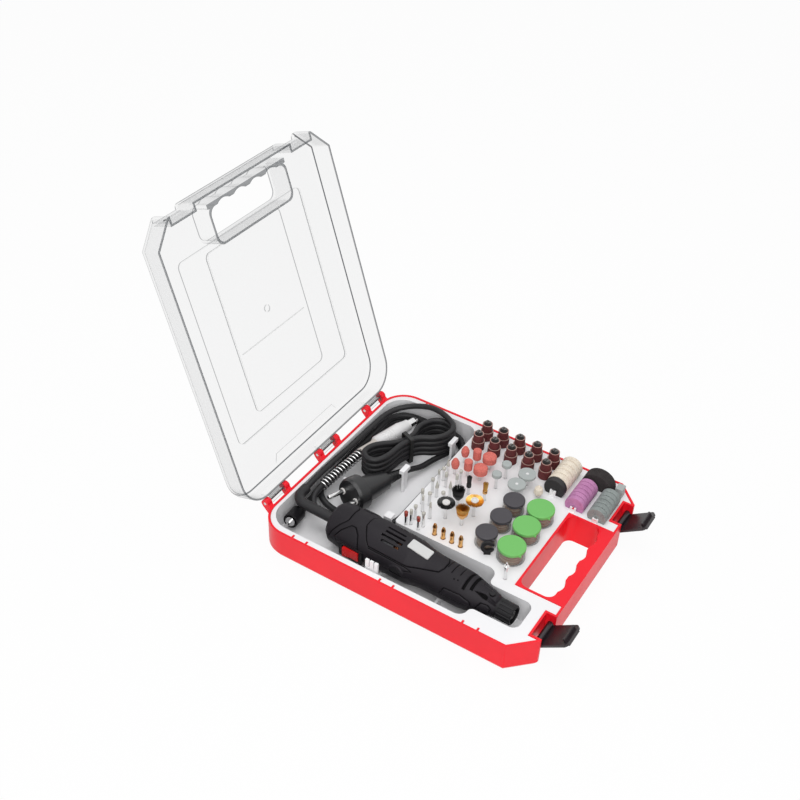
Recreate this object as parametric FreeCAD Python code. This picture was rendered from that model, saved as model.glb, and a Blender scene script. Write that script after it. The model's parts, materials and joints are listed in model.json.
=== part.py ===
import FreeCAD, Part
import math
import os
from FreeCAD import Placement, Rotation, Vector

# Boxed rotary tool set. X runs along the hinge, -Y is the front with the handle and latches,
# Z is up. The origin is the middle of the case's underside. Millimetres.

# Tool's length: local x runs from the rear end to the nose, local z is up
HOUSING_LENGTH = 179.0
NOSE_REACH = 16.0
TOOL_LENGTH = HOUSING_LENGTH + NOSE_REACH

# Case, sized to the tool lengthwise and to its two bays across
CASE_HEIGHT = 32.0
CASE_WALL = 2.2
FLANGE_WIDTH = 6.0
FIT_GAP = 0.3
SIDE_RIM = CASE_WALL + FIT_GAP + FLANGE_WIDTH
TOOL_WELL_WIDTH = 65.0
DECK_WIDTH = 163.0
CASE_WIDTH = 2.0 * SIDE_RIM + TOOL_WELL_WIDTH + DECK_WIDTH
FRONT_BAY = 33.0
REAR_BAY = 60.0
CASE_DEPTH = FRONT_BAY + TOOL_LENGTH + REAR_BAY
HALF_WIDTH = CASE_WIDTH / 2.0
HALF_DEPTH = CASE_DEPTH / 2.0
FRONT_CHAMFER = 22.0
REAR_CORNER_RADIUS = 28.0
SMALL_CORNER_RADIUS = 2.0
FOOT_ROUND = 4.0

# Handle opening and its bar
HANDLE_TO_LATCH = 16.0
HANDLE_HOLE_DEPTH = 33.5
HANDLE_BAR = 13.0
HANDLE_CORNER_RADIUS = 8.0
GRIP_SCALLOPS = 4
GRIP_RADIUS = 14.0
GRIP_DEPTH = 2.6

# Latches and their recesses
LATCH_FROM_SIDE = 39.0
LATCH_OFFSET = HALF_WIDTH - LATCH_FROM_SIDE
LATCH_RECESS_WIDTH = 29.0
LATCH_RECESS_DEPTH = 10.0
LATCH_WIDTH = 27.0
LATCH_PIVOT_BELOW = 10.0
LATCH_PIVOT_HEIGHT = CASE_HEIGHT - LATCH_PIVOT_BELOW
LATCH_PIVOT_INSET = 4.6
LATCH_LENGTH = 31.0
LATCH_THICKNESS = 2.4
LATCH_OPEN_ANGLE = 55.0
PIN_RADIUS = 1.5
PIN_CLEARANCE = 0.06
PIN_SEAT = 1.8

# Lid and hinge
LID_DEPTH = 24.0
LID_WALL = 1.8
LID_ROUND = 7.0
LID_OPEN_ANGLE = 107.7
LID_PANEL_STEP = 1.2
WIDE_PANEL_IN = 34.5
PANEL_FRONT = 50.0
PANEL_REAR = 48.0
PANEL_SIDE_BAND = 34.0
PANEL_FRONT_BAND = 7.0
PANEL_REAR_BAND = 16.0
CREASE_FROM_REAR = 126.0
CREASE_WIDTH = 0.8
CREASE_DEPTH = 0.5
GATE_FROM_REAR = 149.7
GATE_RADIUS = 4.0
REAR_RECESS_HALF = 47.0
REAR_RECESS_FLARE = 8.0
REAR_RECESS_LENGTH = 13.0
REAR_RECESS_DEPTH = 0.6
PANEL_CORNER = 6.0
HINGE_AXIS_BEHIND = 5.8
HINGE_AXIS_ABOVE = 2.0
HINGE_FROM_SIDE = 37.5
HINGE_SHIFT = 1.0
HINGE_CENTRES = (HINGE_FROM_SIDE + HINGE_SHIFT - HALF_WIDTH, HINGE_SHIFT,
                 HALF_WIDTH - HINGE_FROM_SIDE + HINGE_SHIFT)
HINGE_GROUP_WIDTH = 34.0
HINGE_EAR_WIDTH = 6.0
HINGE_EAR_RADIUS = 4.2

# Tray
TRAY_WALL = 1.6
TRAY_BELOW_RIM = 0.7
TRAY_TOP = CASE_HEIGHT - TRAY_BELOW_RIM
TRAY_FLOOR = 3.0
TRAY_PLATE = 1.8
REAR_FLANGE = 3.2
DECK_DEPTH = 181.0
DECK_EDGE_Y = DECK_DEPTH - HALF_DEPTH
TOOL_WELL_RIGHT = SIDE_RIM + TOOL_WELL_WIDTH - HALF_WIDTH
SNAP_TAB_Y = (103.7, 88.5, 7.9, -6.2, -77.8, -92.9)

# Tool's place in its well, and its main radii
TOOL_FROM_SIDE = 47.0
TOOL_REAR_X = TOOL_FROM_SIDE - HALF_WIDTH
TOOL_REAR_Y = HALF_DEPTH - REAR_BAY
TOOL_AXIS_ABOVE_FLOOR = 22.9
TOOL_AXIS_HEIGHT = TRAY_FLOOR + TRAY_WALL + TOOL_AXIS_ABOVE_FLOOR
TOOL_YAW = -92.65
TOOL_WALL = 2.2
BODY_RADIUS = 22.3
GRIP_BODY_RADIUS = 17.9
NOSE_RADIUS = 9.6
LABEL_PAD_HEIGHT = 21.9
LABEL_TILT = 7.5
NOSE_CLEARANCE = 10.0
NOSE_WELL_LENGTH = 46.0
TOOL_WELL_FRONT = TOOL_REAR_Y - TOOL_LENGTH - NOSE_CLEARANCE
NOSE_STEP_Y = TOOL_WELL_FRONT + NOSE_WELL_LENGTH
NOSE_WELL_WIDTH = 34.0

# Stations along the housing, spaced out over its length
SWITCH_CENTRE_X = 0.1844 * HOUSING_LENGTH
REAR_BEARING_START = 0.2067 * HOUSING_LENGTH
VENT_START = 0.3128 * HOUSING_LENGTH
VENT_END = 0.4413 * HOUSING_LENGTH
CORE_START = 0.2737 * HOUSING_LENGTH
CORE_END = 0.3966 * HOUSING_LENGTH
LABEL_START = 0.4637 * HOUSING_LENGTH
LABEL_END = 0.595 * HOUSING_LENGTH
COMMUTATOR_START = 0.4358 * HOUSING_LENGTH
COMMUTATOR_END = 0.486 * HOUSING_LENGTH
BRUSH_AXIS_X = 0.4609 * HOUSING_LENGTH
FAN_START = 0.5196 * HOUSING_LENGTH
MID_BEARING_START = 0.5754 * HOUSING_LENGTH
COUPLER_START = 0.6145 * HOUSING_LENGTH
SHAFT_END = 0.6508 * HOUSING_LENGTH
SPINDLE_START = 0.6536 * HOUSING_LENGTH
COUPLER_END = 0.6927 * HOUSING_LENGTH
FRONT_BEARING_A = 0.7151 * HOUSING_LENGTH
FRONT_BEARING_B = 0.8939 * HOUSING_LENGTH
LOCK_BUTTON_X = 0.9581 * HOUSING_LENGTH
SPINDLE_REACH = 10.5
SPINDLE_END = HOUSING_LENGTH + SPINDLE_REACH

# Motor and spindle
SHAFT_RADIUS = 2.5
BEARING_RADIUS = 8.0
BEARING_WIDTH = 5.0
RUNNING_GAP = 0.04
CORE_RADIUS = 10.4
WINDING_OVERHANG = 4.0
COIL_OVERHANG = 3.6
AIR_GAP = 0.6
STATOR_RADIUS = 19.0
COMMUTATOR_RADIUS = 6.5
COMMUTATOR_BARS = 12
FAN_RADIUS = 14.0
FAN_WIDTH = 6.0
FAN_BLADES = 8
COUPLER_RADIUS = 6.0
SPINDLE_RADIUS = 3.5
COLLET_NUT_RADIUS = 5.6
COLLET_NUT_GAP = 0.5
LOCK_BUTTON_RADIUS = 2.6
SWITCH_LENGTH = 19.0
SWITCH_WIDTH = 11.0
ROCKER_TILT = 8.0

# Cord, boot, hank and plug
CORD_DIAMETER = 6.0
BOOT_RADIUS = 5.2
BOOT_BEND_RADIUS = 11.0
HANK_PITCH = 6.6
HANK_LOOPS = 4
HANK_LOWEST = 12.0
HANK_NEAR = (15.0, 101.0)
HANK_FAR = (87.4, 71.3)
HANK_NEAR_RADIUS = 10.5
HANK_FAR_RADIUS = 16.5
HANK_WAIST = 3.4
HANK_LEAD = 22.0
PLUG_RADIUS = 17.5
PLUG_PIN_RADIUS = 2.4
PLUG_PIN_SPACING = 19.0
PLUG_PIN_LENGTH = 19.0
PLUG_PIN_SEAT = 6.0
PLUG_FLANGE = 14.0
PLUG_NECK_RADIUS = 14.0
PLUG_RELIEF = 22.0
PLUG_RELIEF_RADIUS = 6.4
PLUG_TAIL_RADIUS = 4.2
PLUG_RIBS = 5
PLUG_RIB_START = 3.0
PLUG_RIB_PITCH = 3.6
PLUG_RIB_DEPTH = 0.4
PLUG_RELIEF_TAPER = (PLUG_RELIEF_RADIUS - PLUG_TAIL_RADIUS) / PLUG_RELIEF
PLUG_PIN_ROUND = 1.2

# Flexible shaft
HOSE_DIAMETER = 6.5
SPRING_WIRE = 1.3
SPRING_RADIUS = 5.2
SPRING_TURNS = 14
BRUSH_SPRING_RADIUS = 2.5
BRUSH_SPRING_WIRE = 0.9
BRUSH_SPRING_TURNS = 3
HANDPIECE_RADIUS = 8.0
HANDPIECE_LENGTH = 46.0
NECK_LENGTH = 20.0
NECK_RADIUS = 5.4
CHUCK_LENGTH = 12.0
CHUCK_RADIUS = 4.6
COUPLING_LENGTH = 27.0
COUPLING_RADIUS = 7.4

# Accessories
SHANK_RADIUS = 1.5
SHANK_FOOT = 2.6
WIDE_SLEEVE_RADIUS = 6.6
NARROW_SLEEVE_RADIUS = 5.2
SLEEVE_WALL = 0.9
POT_HEIGHT = 13.5
POT_LID_HEIGHT = 2.6
POT_SEAT_DEPTH = 1.4
POT_FLOOR = TRAY_TOP - POT_SEAT_DEPTH
POT_WALL = 1.2

LID_NOTCH_DEPTH = 7.0
LATCH_CATCH_REACH = 1.6
LATCH_CATCH_WIDTH = 20.0
LATCH_CATCH_HEIGHT = 2.5
LATCH_CATCH_ABOVE = 15.0
LATCH_CATCH_TOP = CASE_HEIGHT + LATCH_CATCH_ABOVE
TROUGH_GAP = 0.35
ARBOR_END = 3.0
ARBOR_BLOCK = 2.0
CRADLE_GAP = 0.4
CRADLE_FROM_REAR = (64.0, 124.0)
CRADLE_HEIGHT = 9.4
COMB_FROM_REAR = 63.0
COMB_ABOVE = 9.7
COMB_THICK = 2.2
COMB_PITCH = 4.8
COMB_HALF = 1.8
SHANK_HOLE_GAP = 0.25
SNAP_TAB_REACH = 3.4
SNAP_TAB_HALF = 0.8
SNAP_TAB_HEIGHT = 8.0
SNAP_TAB_BELOW = 0.2

# Upright tray posts: centre x and y, height above the tray's floor, half of the cap's width and depth, and
# half of the stem's width
TRAY_POSTS = (
    (-49.4, 42.2, 33.0, 4.1, 3.9, 2.4), (17.4, 66.9, 29.4, 6.2, 2.6, 3.6), (81.0, 48.6, 29.4, 6.4, 2.3, 3.8),
    (35.0, 108.2, 21.4, 1.3, 1.3, 1.3), (-22.0, 112.0, 22.4, 1.3, 1.3, 1.3),
)
POST_HALF = 1.3
POST_CAP = 4.0

# Places on the deck, as shares of its width from the tool well and of its field from the front row
FRONT_ROW = 22.8
DRUM_COLUMNS = (0.957, 0.8436)
DRUM_ROWS = (0.918, 0.801, 0.681, 0.559, 0.437)
BULLET_STONES = ((0.555, 0.916), (0.683, 0.92))
CYLINDER_STONES = ((0.585, 0.841), (0.7, 0.844))
DISC_STONES = ((0.591, 0.757), (0.711, 0.761))
GREY_STONES = ((0.695, 0.633), (0.584, 0.641))
GREY_DISCS = ((0.709, 0.495), (0.595, 0.507))
PENCIL_BRUSHES = ((0.448, 0.755), (0.455, 0.646))
CUP_BRUSHES = ((0.321, 0.756), (0.199, 0.655))
WHEEL_BRUSHES = ((0.192, 0.764), (0.3, 0.632))
RED_BITS = ((0.021, 0.932), (0.0255, 0.848))
DIAMOND_BURRS = (
    (0.221, 0.945), (0.338, 0.945), (0.411, 0.946), (0.466, 0.945), (0.522, 0.948), (0.037, 0.907),
    (0.086, 0.908), (0.166, 0.907), (0.233, 0.901), (0.319, 0.903), (0.423, 0.901), (0.061, 0.837),
    (0.141, 0.84), (0.282, 0.837), (0.362, 0.835), (0.442, 0.837), (0.494, 0.84),
)
COLLETS = ((0.045, 0.747), (0.045, 0.688), (0.045, 0.629), (0.045, 0.57))
SCREW_MANDREL = (-0.029, 0.233)
FELT_BOB = (0.66, 0.387)
SPANNER_AT = (0.08, 0.412)
DRESSING_STONE = (0.948, -0.025)
SMALL_POTS = ((0.472, 0.456), (0.313, 0.456), (0.153, 0.463))
LARGE_POTS = ((0.4945, 0.288), (0.3245, 0.292), (0.137, 0.288))
LARGE_POT_GAP = 1.3
POT_ROW_GAP = 2.34
GREY_DISC_GAP = 1.0

# Rows of wheels on lengthwise arbors: first and last share across, share back, axis above deck, radius
FELT_ROW = (0.73, 0.991, 0.317, 6.7, 11.0)
PINK_ROW = (0.678, 0.8865, 0.153, 4.7, 10.0)
GREEN_ROW = (0.6655, 0.8865, 0.0, 4.7, 9.6)
DISC_ROW = (0.912, 0.991, 0.1176, 1.7, 16.0)
WHEEL_COUNT = 6
CUTOFF_COUNT = 8
COLLET_RADIUS = 2.3
LOOSE_COLLET_BORE = 1.0
SPANNER_TURN = -59.1

# Details of the tool's housing, in the tool's own frame. Screws as station, half spacing and head height
REAR_SCREW = (9.0, 11.0, 14.5)
MIDDLE_SCREW = (0.6313 * HOUSING_LENGTH, 10.5, 11.5)
NOSE_SCREW = (0.8547 * HOUSING_LENGTH, 8.0, 10.0)
HOUSING_SCREWS = [(x, side * y, head) for x, y, head in (REAR_SCREW, MIDDLE_SCREW, NOSE_SCREW)
                  for side in (1.0, -1.0)]
SCREW_RADIUS = 1.4
SCREW_LENGTH = 20.0
SCREW_HEAD_RADIUS = 2.7
SCREW_HEAD_HEIGHT = 1.8
BRUSH_START = 6.6
BRUSH_END = 12.5
BRUSH_HOLDER_RADIUS = 4.4
BRUSH_CAP_START = 19.0
BRUSH_CAP_RADIUS = 6.4
BRUSH_CAP_LENGTH = 3.0
LOCK_SEAT_LOW = 6.3
LOCK_PIN_RADIUS = 1.1
LOCK_COLLAR_RADIUS = 5.2
LOCK_COLLAR_HALF = 3.0
LABEL_HALF_WIDTH = 5.5
LABEL_CORNER = 2.0
NOSE_BORE_RADIUS = 7.4
NOSE_NECK_LENGTH = 6.0
NOSE_FLUTES = 16
SWITCH_FACE = 23.4
SWITCH_DEEP = 12.0
SWITCH_HEIGHT = -4.0
ROCKER_PIVOT_DEPTH = 4.2
VENT_ANGLES = (-11.0, 3.0, 16.0, 29.0)
VENT_WIDTH = 2.4
# Slots across the housing's top, as place along it and reach to its right and left
GRIP_LINES = (
    (0.6983 * HOUSING_LENGTH, -0.6, 12.0), (0.7318 * HOUSING_LENGTH, -4.0, 9.5),
    (0.7765 * HOUSING_LENGTH, -2.5, 8.3),
)
GRIP_LINE_HALF = 0.55
GRIP_LINE_DEPTH = 0.8
NOSE_SLOTS = ((0.824 * HOUSING_LENGTH, -11.4, 12.6), (0.8603 * HOUSING_LENGTH, -8.5, 11.5))
NOSE_SLOT_HALF = 1.2
NUT_LENGTH = 8.0
COLLET_BORE = 1.3
ARMATURE_SLOTS = 9

LOCK_BUTTON_LOW = 9.8
LOCK_BUTTON_HEIGHT = 3.8
CLAMP_START = 5.2
CLAMP_THICK = 4.0
CLAMP_HALF_WIDTH = 7.2
CLAMP_HALF_HEIGHT = 9.2
CLAMP_FOOT_HALF = 5.0

# Boot and cord points, x, y, z
BOOT_CORNER = (-76.2, 132.6, 30.4)
CORD_POINTS = (
    (-58.0, 132.8, 30.4), (-40.0, 134.4, 30.0), (-12.0, 134.6, 28.6), (28.0, 134.0, 27.0),
    (62.0, 134.6, 26.0), (88.0, 133.0, 26.4), (103.0, 124.0, 28.5), (110.6, 106.0, 33.5),
)
LEAD_POINTS = ((49.0, 66.2, 12.0),)
PLUG_CENTRE = (-23.0, 88.6, 24.6)
PLUG_RELIEF_END = (26.0, 74.5, 18.0)
PLUG_LENGTH = 70.0
HANK_WAIST_SHARE = 40.4
TIE_WIDTH = 4.0
TIE_THICKNESS = 1.2

# Hose points from the handpiece's neck, twice around the well, to the drive coupling
HOSE_START = ((19.6, 120.8, 25.4), (-4.0, 122.6, 25.3), (-28.0, 124.6, 25.3), (-42.5, 125.3, 25.2))
HOSE_TURN = (
    (-54.8, 125.3, 24.8), (-62.7, 121.6, 23.4), (-68.2, 115.0, 21.6), (-70.5, 106.7, 19.9),
    (-69.0, 98.2, 18.2), (-64.0, 91.3, 16.8), (-57.1, 87.3, 15.8), (-52.6, 82.0, 15.3), (-50.5, 75.3, 15.2),
)
HOSE_LOOP = (
    (-50.5, 61.0), (-43.5, 49.0), (-31.5, 42.0), (-8.0, 42.6), (30.0, 41.8), (66.0, 42.5), (91.4, 42.0),
    (103.4, 49.0), (110.3, 61.0), (109.9, 88.0), (110.3, 115.0), (103.4, 127.0), (91.4, 134.0), (66.0, 133.4),
    (28.0, 134.0), (-8.0, 133.5),
)
HOSE_UPPER = 15.2
HOSE_LOWER = 8.2
HOSE_DROP = ((-31.5, 134.0, 15.2), (-43.5, 127.0, 14.9), (-50.5, 115.0, 12.0), (-50.2, 95.0, 8.5),
             (-50.6, 78.0, 8.2))
HOSE_END = ((-30.0, 134.0, 8.2), (-44.0, 133.8, 8.3), (-56.0, 132.5, 10.4), (-67.0, 130.6, 12.6))
SPRING_END = (-42.5, 125.3, 25.2)
NECK_START = (19.6, 120.8, 25.4)
HANDPIECE_TIP = (96.0, 101.6, 26.0)
HANDPIECE_BORE = 5.0
HANDPIECE_GROOVES = 5
CHUCK_STEM_RADIUS = 2.5
DRIVE_TIP_RADIUS = 1.6
DRIVE_TIP_REACH = 8.0

# More accessory sizes
WIDE_BAND = 10.0
NARROW_BAND = 8.6
DRUM_ABOVE_DECK = 0.3
DRUM_CAP_HEIGHT = 2.8
WHEEL_SPACE = 0.6
SPANNER_THICK = 2.6
SPANNER_ABOVE = 8.7
SPANNER_HEAD = 6.6
SPANNER_MOUTH = 2.6
SPANNER_STEM = 3.0
SPANNER_REACH = 24.0
POT_LID_OVERHANG = 0.2
POT_LID_ROUND = 0.8
POT_PLUG = 2.0
POT_TAB = 2.6
POT_TAB_THICK = 1.4
POT_TAB_TURN = 150.0
PACK_GAP = 0.8
STONE_LENGTH = 9.0
STONE_WIDTH = 7.4
STONE_HEIGHT = 11.0
BURR_SHAPES = (
    ((13.0, 1.6), (18.0, 1.6), (19.6, 0.5)),
    ((13.0, 0.8), (16.0, 1.9), (17.5, 1.9), (18.5, 0.6)),
    ((13.0, 1.1), (20.0, 1.1)),
    ((13.0, 1.0), (14.0, 2.0), (16.0, 2.0), (17.0, 1.0)),
    ((12.0, 1.9), (20.0, 0.4)),
)


def block(x0, x1, y0, y1, z0, z1):
    return Part.makeBox(x1 - x0, y1 - y0, z1 - z0, Vector(x0, y0, z0))


def rod(start, axis, radius, length):
    return Part.makeCylinder(radius, length, start, axis)


def tube(start, axis, outer, inner, length):
    return rod(start, axis, outer, length).cut(rod(start - axis * 0.5, axis, inner, length + 1.0))


def join(shapes):
    whole = shapes[0].multiFuse(shapes[1:]) if len(shapes) > 1 else shapes[0]
    return whole.removeSplitter()


def outline(corners):
    """A closed wire through (x, y, radius) corners, each corner an arc of its radius."""
    edges = []
    count = len(corners)
    starts = []
    ends = []
    for i in range(count):
        corner = Vector(corners[i][0], corners[i][1], 0)
        before = Vector(corners[i - 1][0], corners[i - 1][1], 0)
        after = Vector(corners[(i + 1) % count][0], corners[(i + 1) % count][1], 0)
        to_before = (before - corner).normalize()
        to_after = (after - corner).normalize()
        half = to_before.getAngle(to_after) / 2.0
        radius = corners[i][2]
        reach = radius / math.tan(half)
        starts.append(corner + to_before * reach)
        ends.append(corner + to_after * reach)
        if radius > 0:
            middle = corner + (to_before + to_after).normalize() * (radius / math.sin(half) - radius)
            edges.append(Part.Arc(starts[i], middle, ends[i]).toShape())
        else:
            edges.append(None)
    wire_edges = []
    for i in range(count):
        if edges[i] is not None:
            wire_edges.append(edges[i])
        following = starts[(i + 1) % count]
        if (following - ends[i]).Length > 1e-6:
            wire_edges.append(Part.LineSegment(ends[i], following).toShape())
    return Part.Wire(wire_edges)


def prism(wire, z0, z1):
    face = Part.Face(wire)
    face.translate(Vector(0, 0, z0))
    return face.extrude(Vector(0, 0, z1 - z0))


def lathe(profile, closed_on_axis=True):
    """A solid of revolution about local X from (x, radius) points."""
    points = [Vector(x, 0, radius) for x, radius in profile]
    if closed_on_axis:
        points = [Vector(profile[0][0], 0, 0)] + points + [Vector(profile[-1][0], 0, 0)]
    points.append(points[0])
    face = Part.Face(Part.makePolygon(points))
    return face.revolve(Vector(0, 0, 0), Vector(1, 0, 0), 360)


def shrunk(profile, wall):
    """The profile moved inward by a wall thickness."""
    return [(x, radius - wall) for x, radius in profile]


def placed(shape, placement):
    moved = shape.copy()
    moved.Placement = placement.multiply(moved.Placement)
    return moved


def save(name, *shapes):
    solids = []
    for shape in shapes:
        solids.extend(shape.Solids)
    whole = solids[0] if len(solids) == 1 else Part.makeCompound(solids)
    whole.exportStep(f"parts/{name}.step")
    print(f"{name}: {len(solids)} solids, valid {all(s.isValid() for s in solids)}, "
          f"volume {sum(s.Volume for s in solids):.1f}")


def tangent_path(points, label, diameter):
    """Straight runs joined by arcs of 0.45 of the shorter run over the tangent of half the turn."""
    edges = []
    here = points[0]
    radii = []
    for before, corner, after in zip(points, points[1:], points[2:]):
        back = (before - corner)
        on = (after - corner)
        turn = math.pi - back.getAngle(on)
        reach = 0.45 * min(back.Length, on.Length)
        radii.append(reach / math.tan(turn / 2.0))
        back = back.normalize()
        on = on.normalize()
        first = corner + back * reach
        last = corner + on * reach
        inward = (back + on).normalize()
        centre_distance = radii[-1] / math.cos(turn / 2.0)
        middle = corner + inward * (centre_distance - radii[-1])
        edges.append(Part.LineSegment(here, first).toShape())
        edges.append(Part.Arc(first, middle, last).toShape())
        here = last
    edges.append(Part.LineSegment(here, points[-1]).toShape())
    wire = Part.Wire(edges)
    print(f"{label}: length {wire.Length:.0f} mm, least radius {min(radii):.1f} mm "
          f"({min(radii) / diameter:.1f} diameters), radii {[round(r) for r in radii]}")
    return wire


def sweep(wire, radius):
    """A round tube along a wire."""
    first = wire.OrderedEdges[0]
    start = first.valueAt(first.FirstParameter)
    heading = first.tangentAt(first.FirstParameter)
    end_point = wire.OrderedVertexes[0].Point
    if (start - end_point).Length > 1e-4:
        start = first.valueAt(first.LastParameter)
        heading = first.tangentAt(first.LastParameter) * -1.0
    profile = Part.Wire(Part.makeCircle(radius, start, heading))
    solid = wire.makePipeShell([profile], True, False)
    ideal = math.pi * radius ** 2 * wire.Length
    print(f"  swept volume {solid.Volume:.0f}, section times length {ideal:.0f}")
    return solid


def biarc_edges(start, start_heading, end, end_heading):
    """Two arcs that leave start and reach end along the given headings."""
    chord = end - start
    total = start_heading + end_heading
    a = 2.0 * (1.0 - start_heading.dot(end_heading))
    b = 2.0 * chord.dot(total)
    c = -chord.dot(chord)
    if abs(a) < 1e-9:
        reach = -c / b
    else:
        reach = (-b + math.sqrt(b * b - 4.0 * a * c)) / (2.0 * a)
    first_corner = start + start_heading * reach
    second_corner = end - end_heading * reach
    meeting = (first_corner + second_corner) * 0.5
    edges = []
    for point_a, corner, point_b in ((start, first_corner, meeting), (meeting, second_corner, end)):
        back = (point_a - corner).normalize()
        on = (point_b - corner).normalize()
        half = back.getAngle(on) / 2.0
        if half > math.pi / 2.0 - 1e-4:
            edges.append(Part.LineSegment(point_a, point_b).toShape())
            continue
        radius = reach * math.tan(half)
        middle = corner + (back + on).normalize() * (radius / math.sin(half) - radius)
        edges.append(Part.Arc(point_a, middle, point_b).toShape())
    return edges


def biarc_path(points, headings):
    edges = []
    for i in range(len(points) - 1):
        edges.extend(biarc_edges(points[i], headings[i], points[i + 1], headings[i + 1]))
    return Part.Wire(edges)


def least_gap(wire, diameter, label, samples=900):
    """The least clear distance between strands of one tube that lie apart along it."""
    points = wire.discretize(samples)
    step = wire.Length / (samples - 1)
    skip = int(3.0 * diameter / step) + 1
    least = 1e9
    for i in range(samples):
        for j in range(i + skip, samples):
            gap = (points[i] - points[j]).Length
            if gap < least:
                least = gap
    print(f"{label}: least gap to itself {least - diameter:.2f} mm")


RECESS_BACK = -HALF_DEPTH + LATCH_RECESS_DEPTH
LATCH_INNER = LATCH_OFFSET - LATCH_RECESS_WIDTH / 2.0
LATCH_OUTER = LATCH_OFFSET + LATCH_RECESS_WIDTH / 2.0
HOLE_HALF = LATCH_INNER - HANDLE_TO_LATCH
HOLE_FRONT = -HALF_DEPTH + HANDLE_BAR
HOLE_REAR = HOLE_FRONT + HANDLE_HOLE_DEPTH
HINGE_Y = HALF_DEPTH + HINGE_AXIS_BEHIND
HINGE_Z = CASE_HEIGHT + HINGE_AXIS_ABOVE
X_AXIS = Vector(1, 0, 0)
Y_AXIS = Vector(0, 1, 0)
Z_AXIS = Vector(0, 0, 1)
FIELD_DEPTH = DECK_DEPTH - FRONT_ROW


def deck_place(spot):
    """The x and y of a place given as shares of the deck."""
    across, back = spot
    return TOOL_WELL_RIGHT + across * DECK_WIDTH, FRONT_ROW - HALF_DEPTH + back * FIELD_DEPTH


def wheel_extent(row):
    """A wheel row's first and last x, its y, its axis height and its radius."""
    first, last, back, above, radius = row
    x0, y = deck_place((first, back))
    x1, y = deck_place((last, back))
    return x0, x1, y, TRAY_TOP + above, radius


WHEEL_ROWS = [wheel_extent(row) for row in (FELT_ROW, PINK_ROW, GREEN_ROW, DISC_ROW)]
LARGE_POT_RADIUS = ((LARGE_POTS[0][0] - LARGE_POTS[1][0]) * DECK_WIDTH - LARGE_POT_GAP) / 2.0
SMALL_POT_RADIUS = (SMALL_POTS[1][1] - LARGE_POTS[1][1]) * FIELD_DEPTH - LARGE_POT_RADIUS - POT_ROW_GAP
GREY_DISC_RADIUS = ((GREY_DISCS[0][0] - GREY_DISCS[1][0]) * DECK_WIDTH - GREY_DISC_GAP) / 2.0


def case_corners(inset, latch_recesses=True):
    """The case's plan outline, moved inward by an inset."""
    half_x = HALF_WIDTH - inset
    half_y = HALF_DEPTH - inset
    chamfer = FRONT_CHAMFER - inset * (2.0 - math.sqrt(2.0))
    front_x = half_x - chamfer
    rear = REAR_CORNER_RADIUS - inset
    small = SMALL_CORNER_RADIUS
    corners = [(-half_x, -half_y + chamfer, small), (-front_x, -half_y, small)]
    if latch_recesses:
        recess_back = RECESS_BACK + inset
        outer = LATCH_OUTER + inset
        inner = LATCH_INNER - inset
        if front_x > outer:
            corners += [(-outer, -half_y, 0), (-outer, recess_back, 0)]
        else:
            over = outer - front_x
            corners = [(-half_x, -half_y + chamfer, small), (-outer, -half_y + over, 0),
                       (-outer, recess_back, 0)]
        corners += [(-inner, recess_back, 0), (-inner, -half_y, 0)]
        corners += [(inner, -half_y, 0), (inner, recess_back, 0)]
        if front_x > outer:
            corners += [(outer, recess_back, 0), (outer, -half_y, 0)]
            corners += [(front_x, -half_y, small)]
        else:
            corners += [(outer, recess_back, 0), (outer, -half_y + over, 0)]
    else:
        corners += [(front_x, -half_y, small)]
    corners += [(half_x, -half_y + chamfer, small), (half_x, half_y, rear), (-half_x, half_y, rear)]
    return corners


def handle_hole(grow, z0, z1):
    """The finger opening through the case, grown outward, with grip scallops in the bar's side."""
    radius = HANDLE_CORNER_RADIUS
    corners = [(-HOLE_HALF - grow, HOLE_FRONT - grow, radius), (HOLE_HALF + grow, HOLE_FRONT - grow, radius),
               (HOLE_HALF + grow, HOLE_REAR + grow, radius), (-HOLE_HALF - grow, HOLE_REAR + grow, radius)]
    hole = prism(outline(corners), z0, z1)
    if grow == 0.0:
        pitch = 2.0 * (HOLE_HALF - radius) / GRIP_SCALLOPS
        for i in range(GRIP_SCALLOPS):
            x = (i - (GRIP_SCALLOPS - 1) / 2.0) * pitch
            centre = Vector(x, HOLE_FRONT - GRIP_DEPTH + GRIP_RADIUS, z0)
            hole = hole.fuse(rod(centre, Z_AXIS, GRIP_RADIUS, z1 - z0))
    return hole


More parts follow.
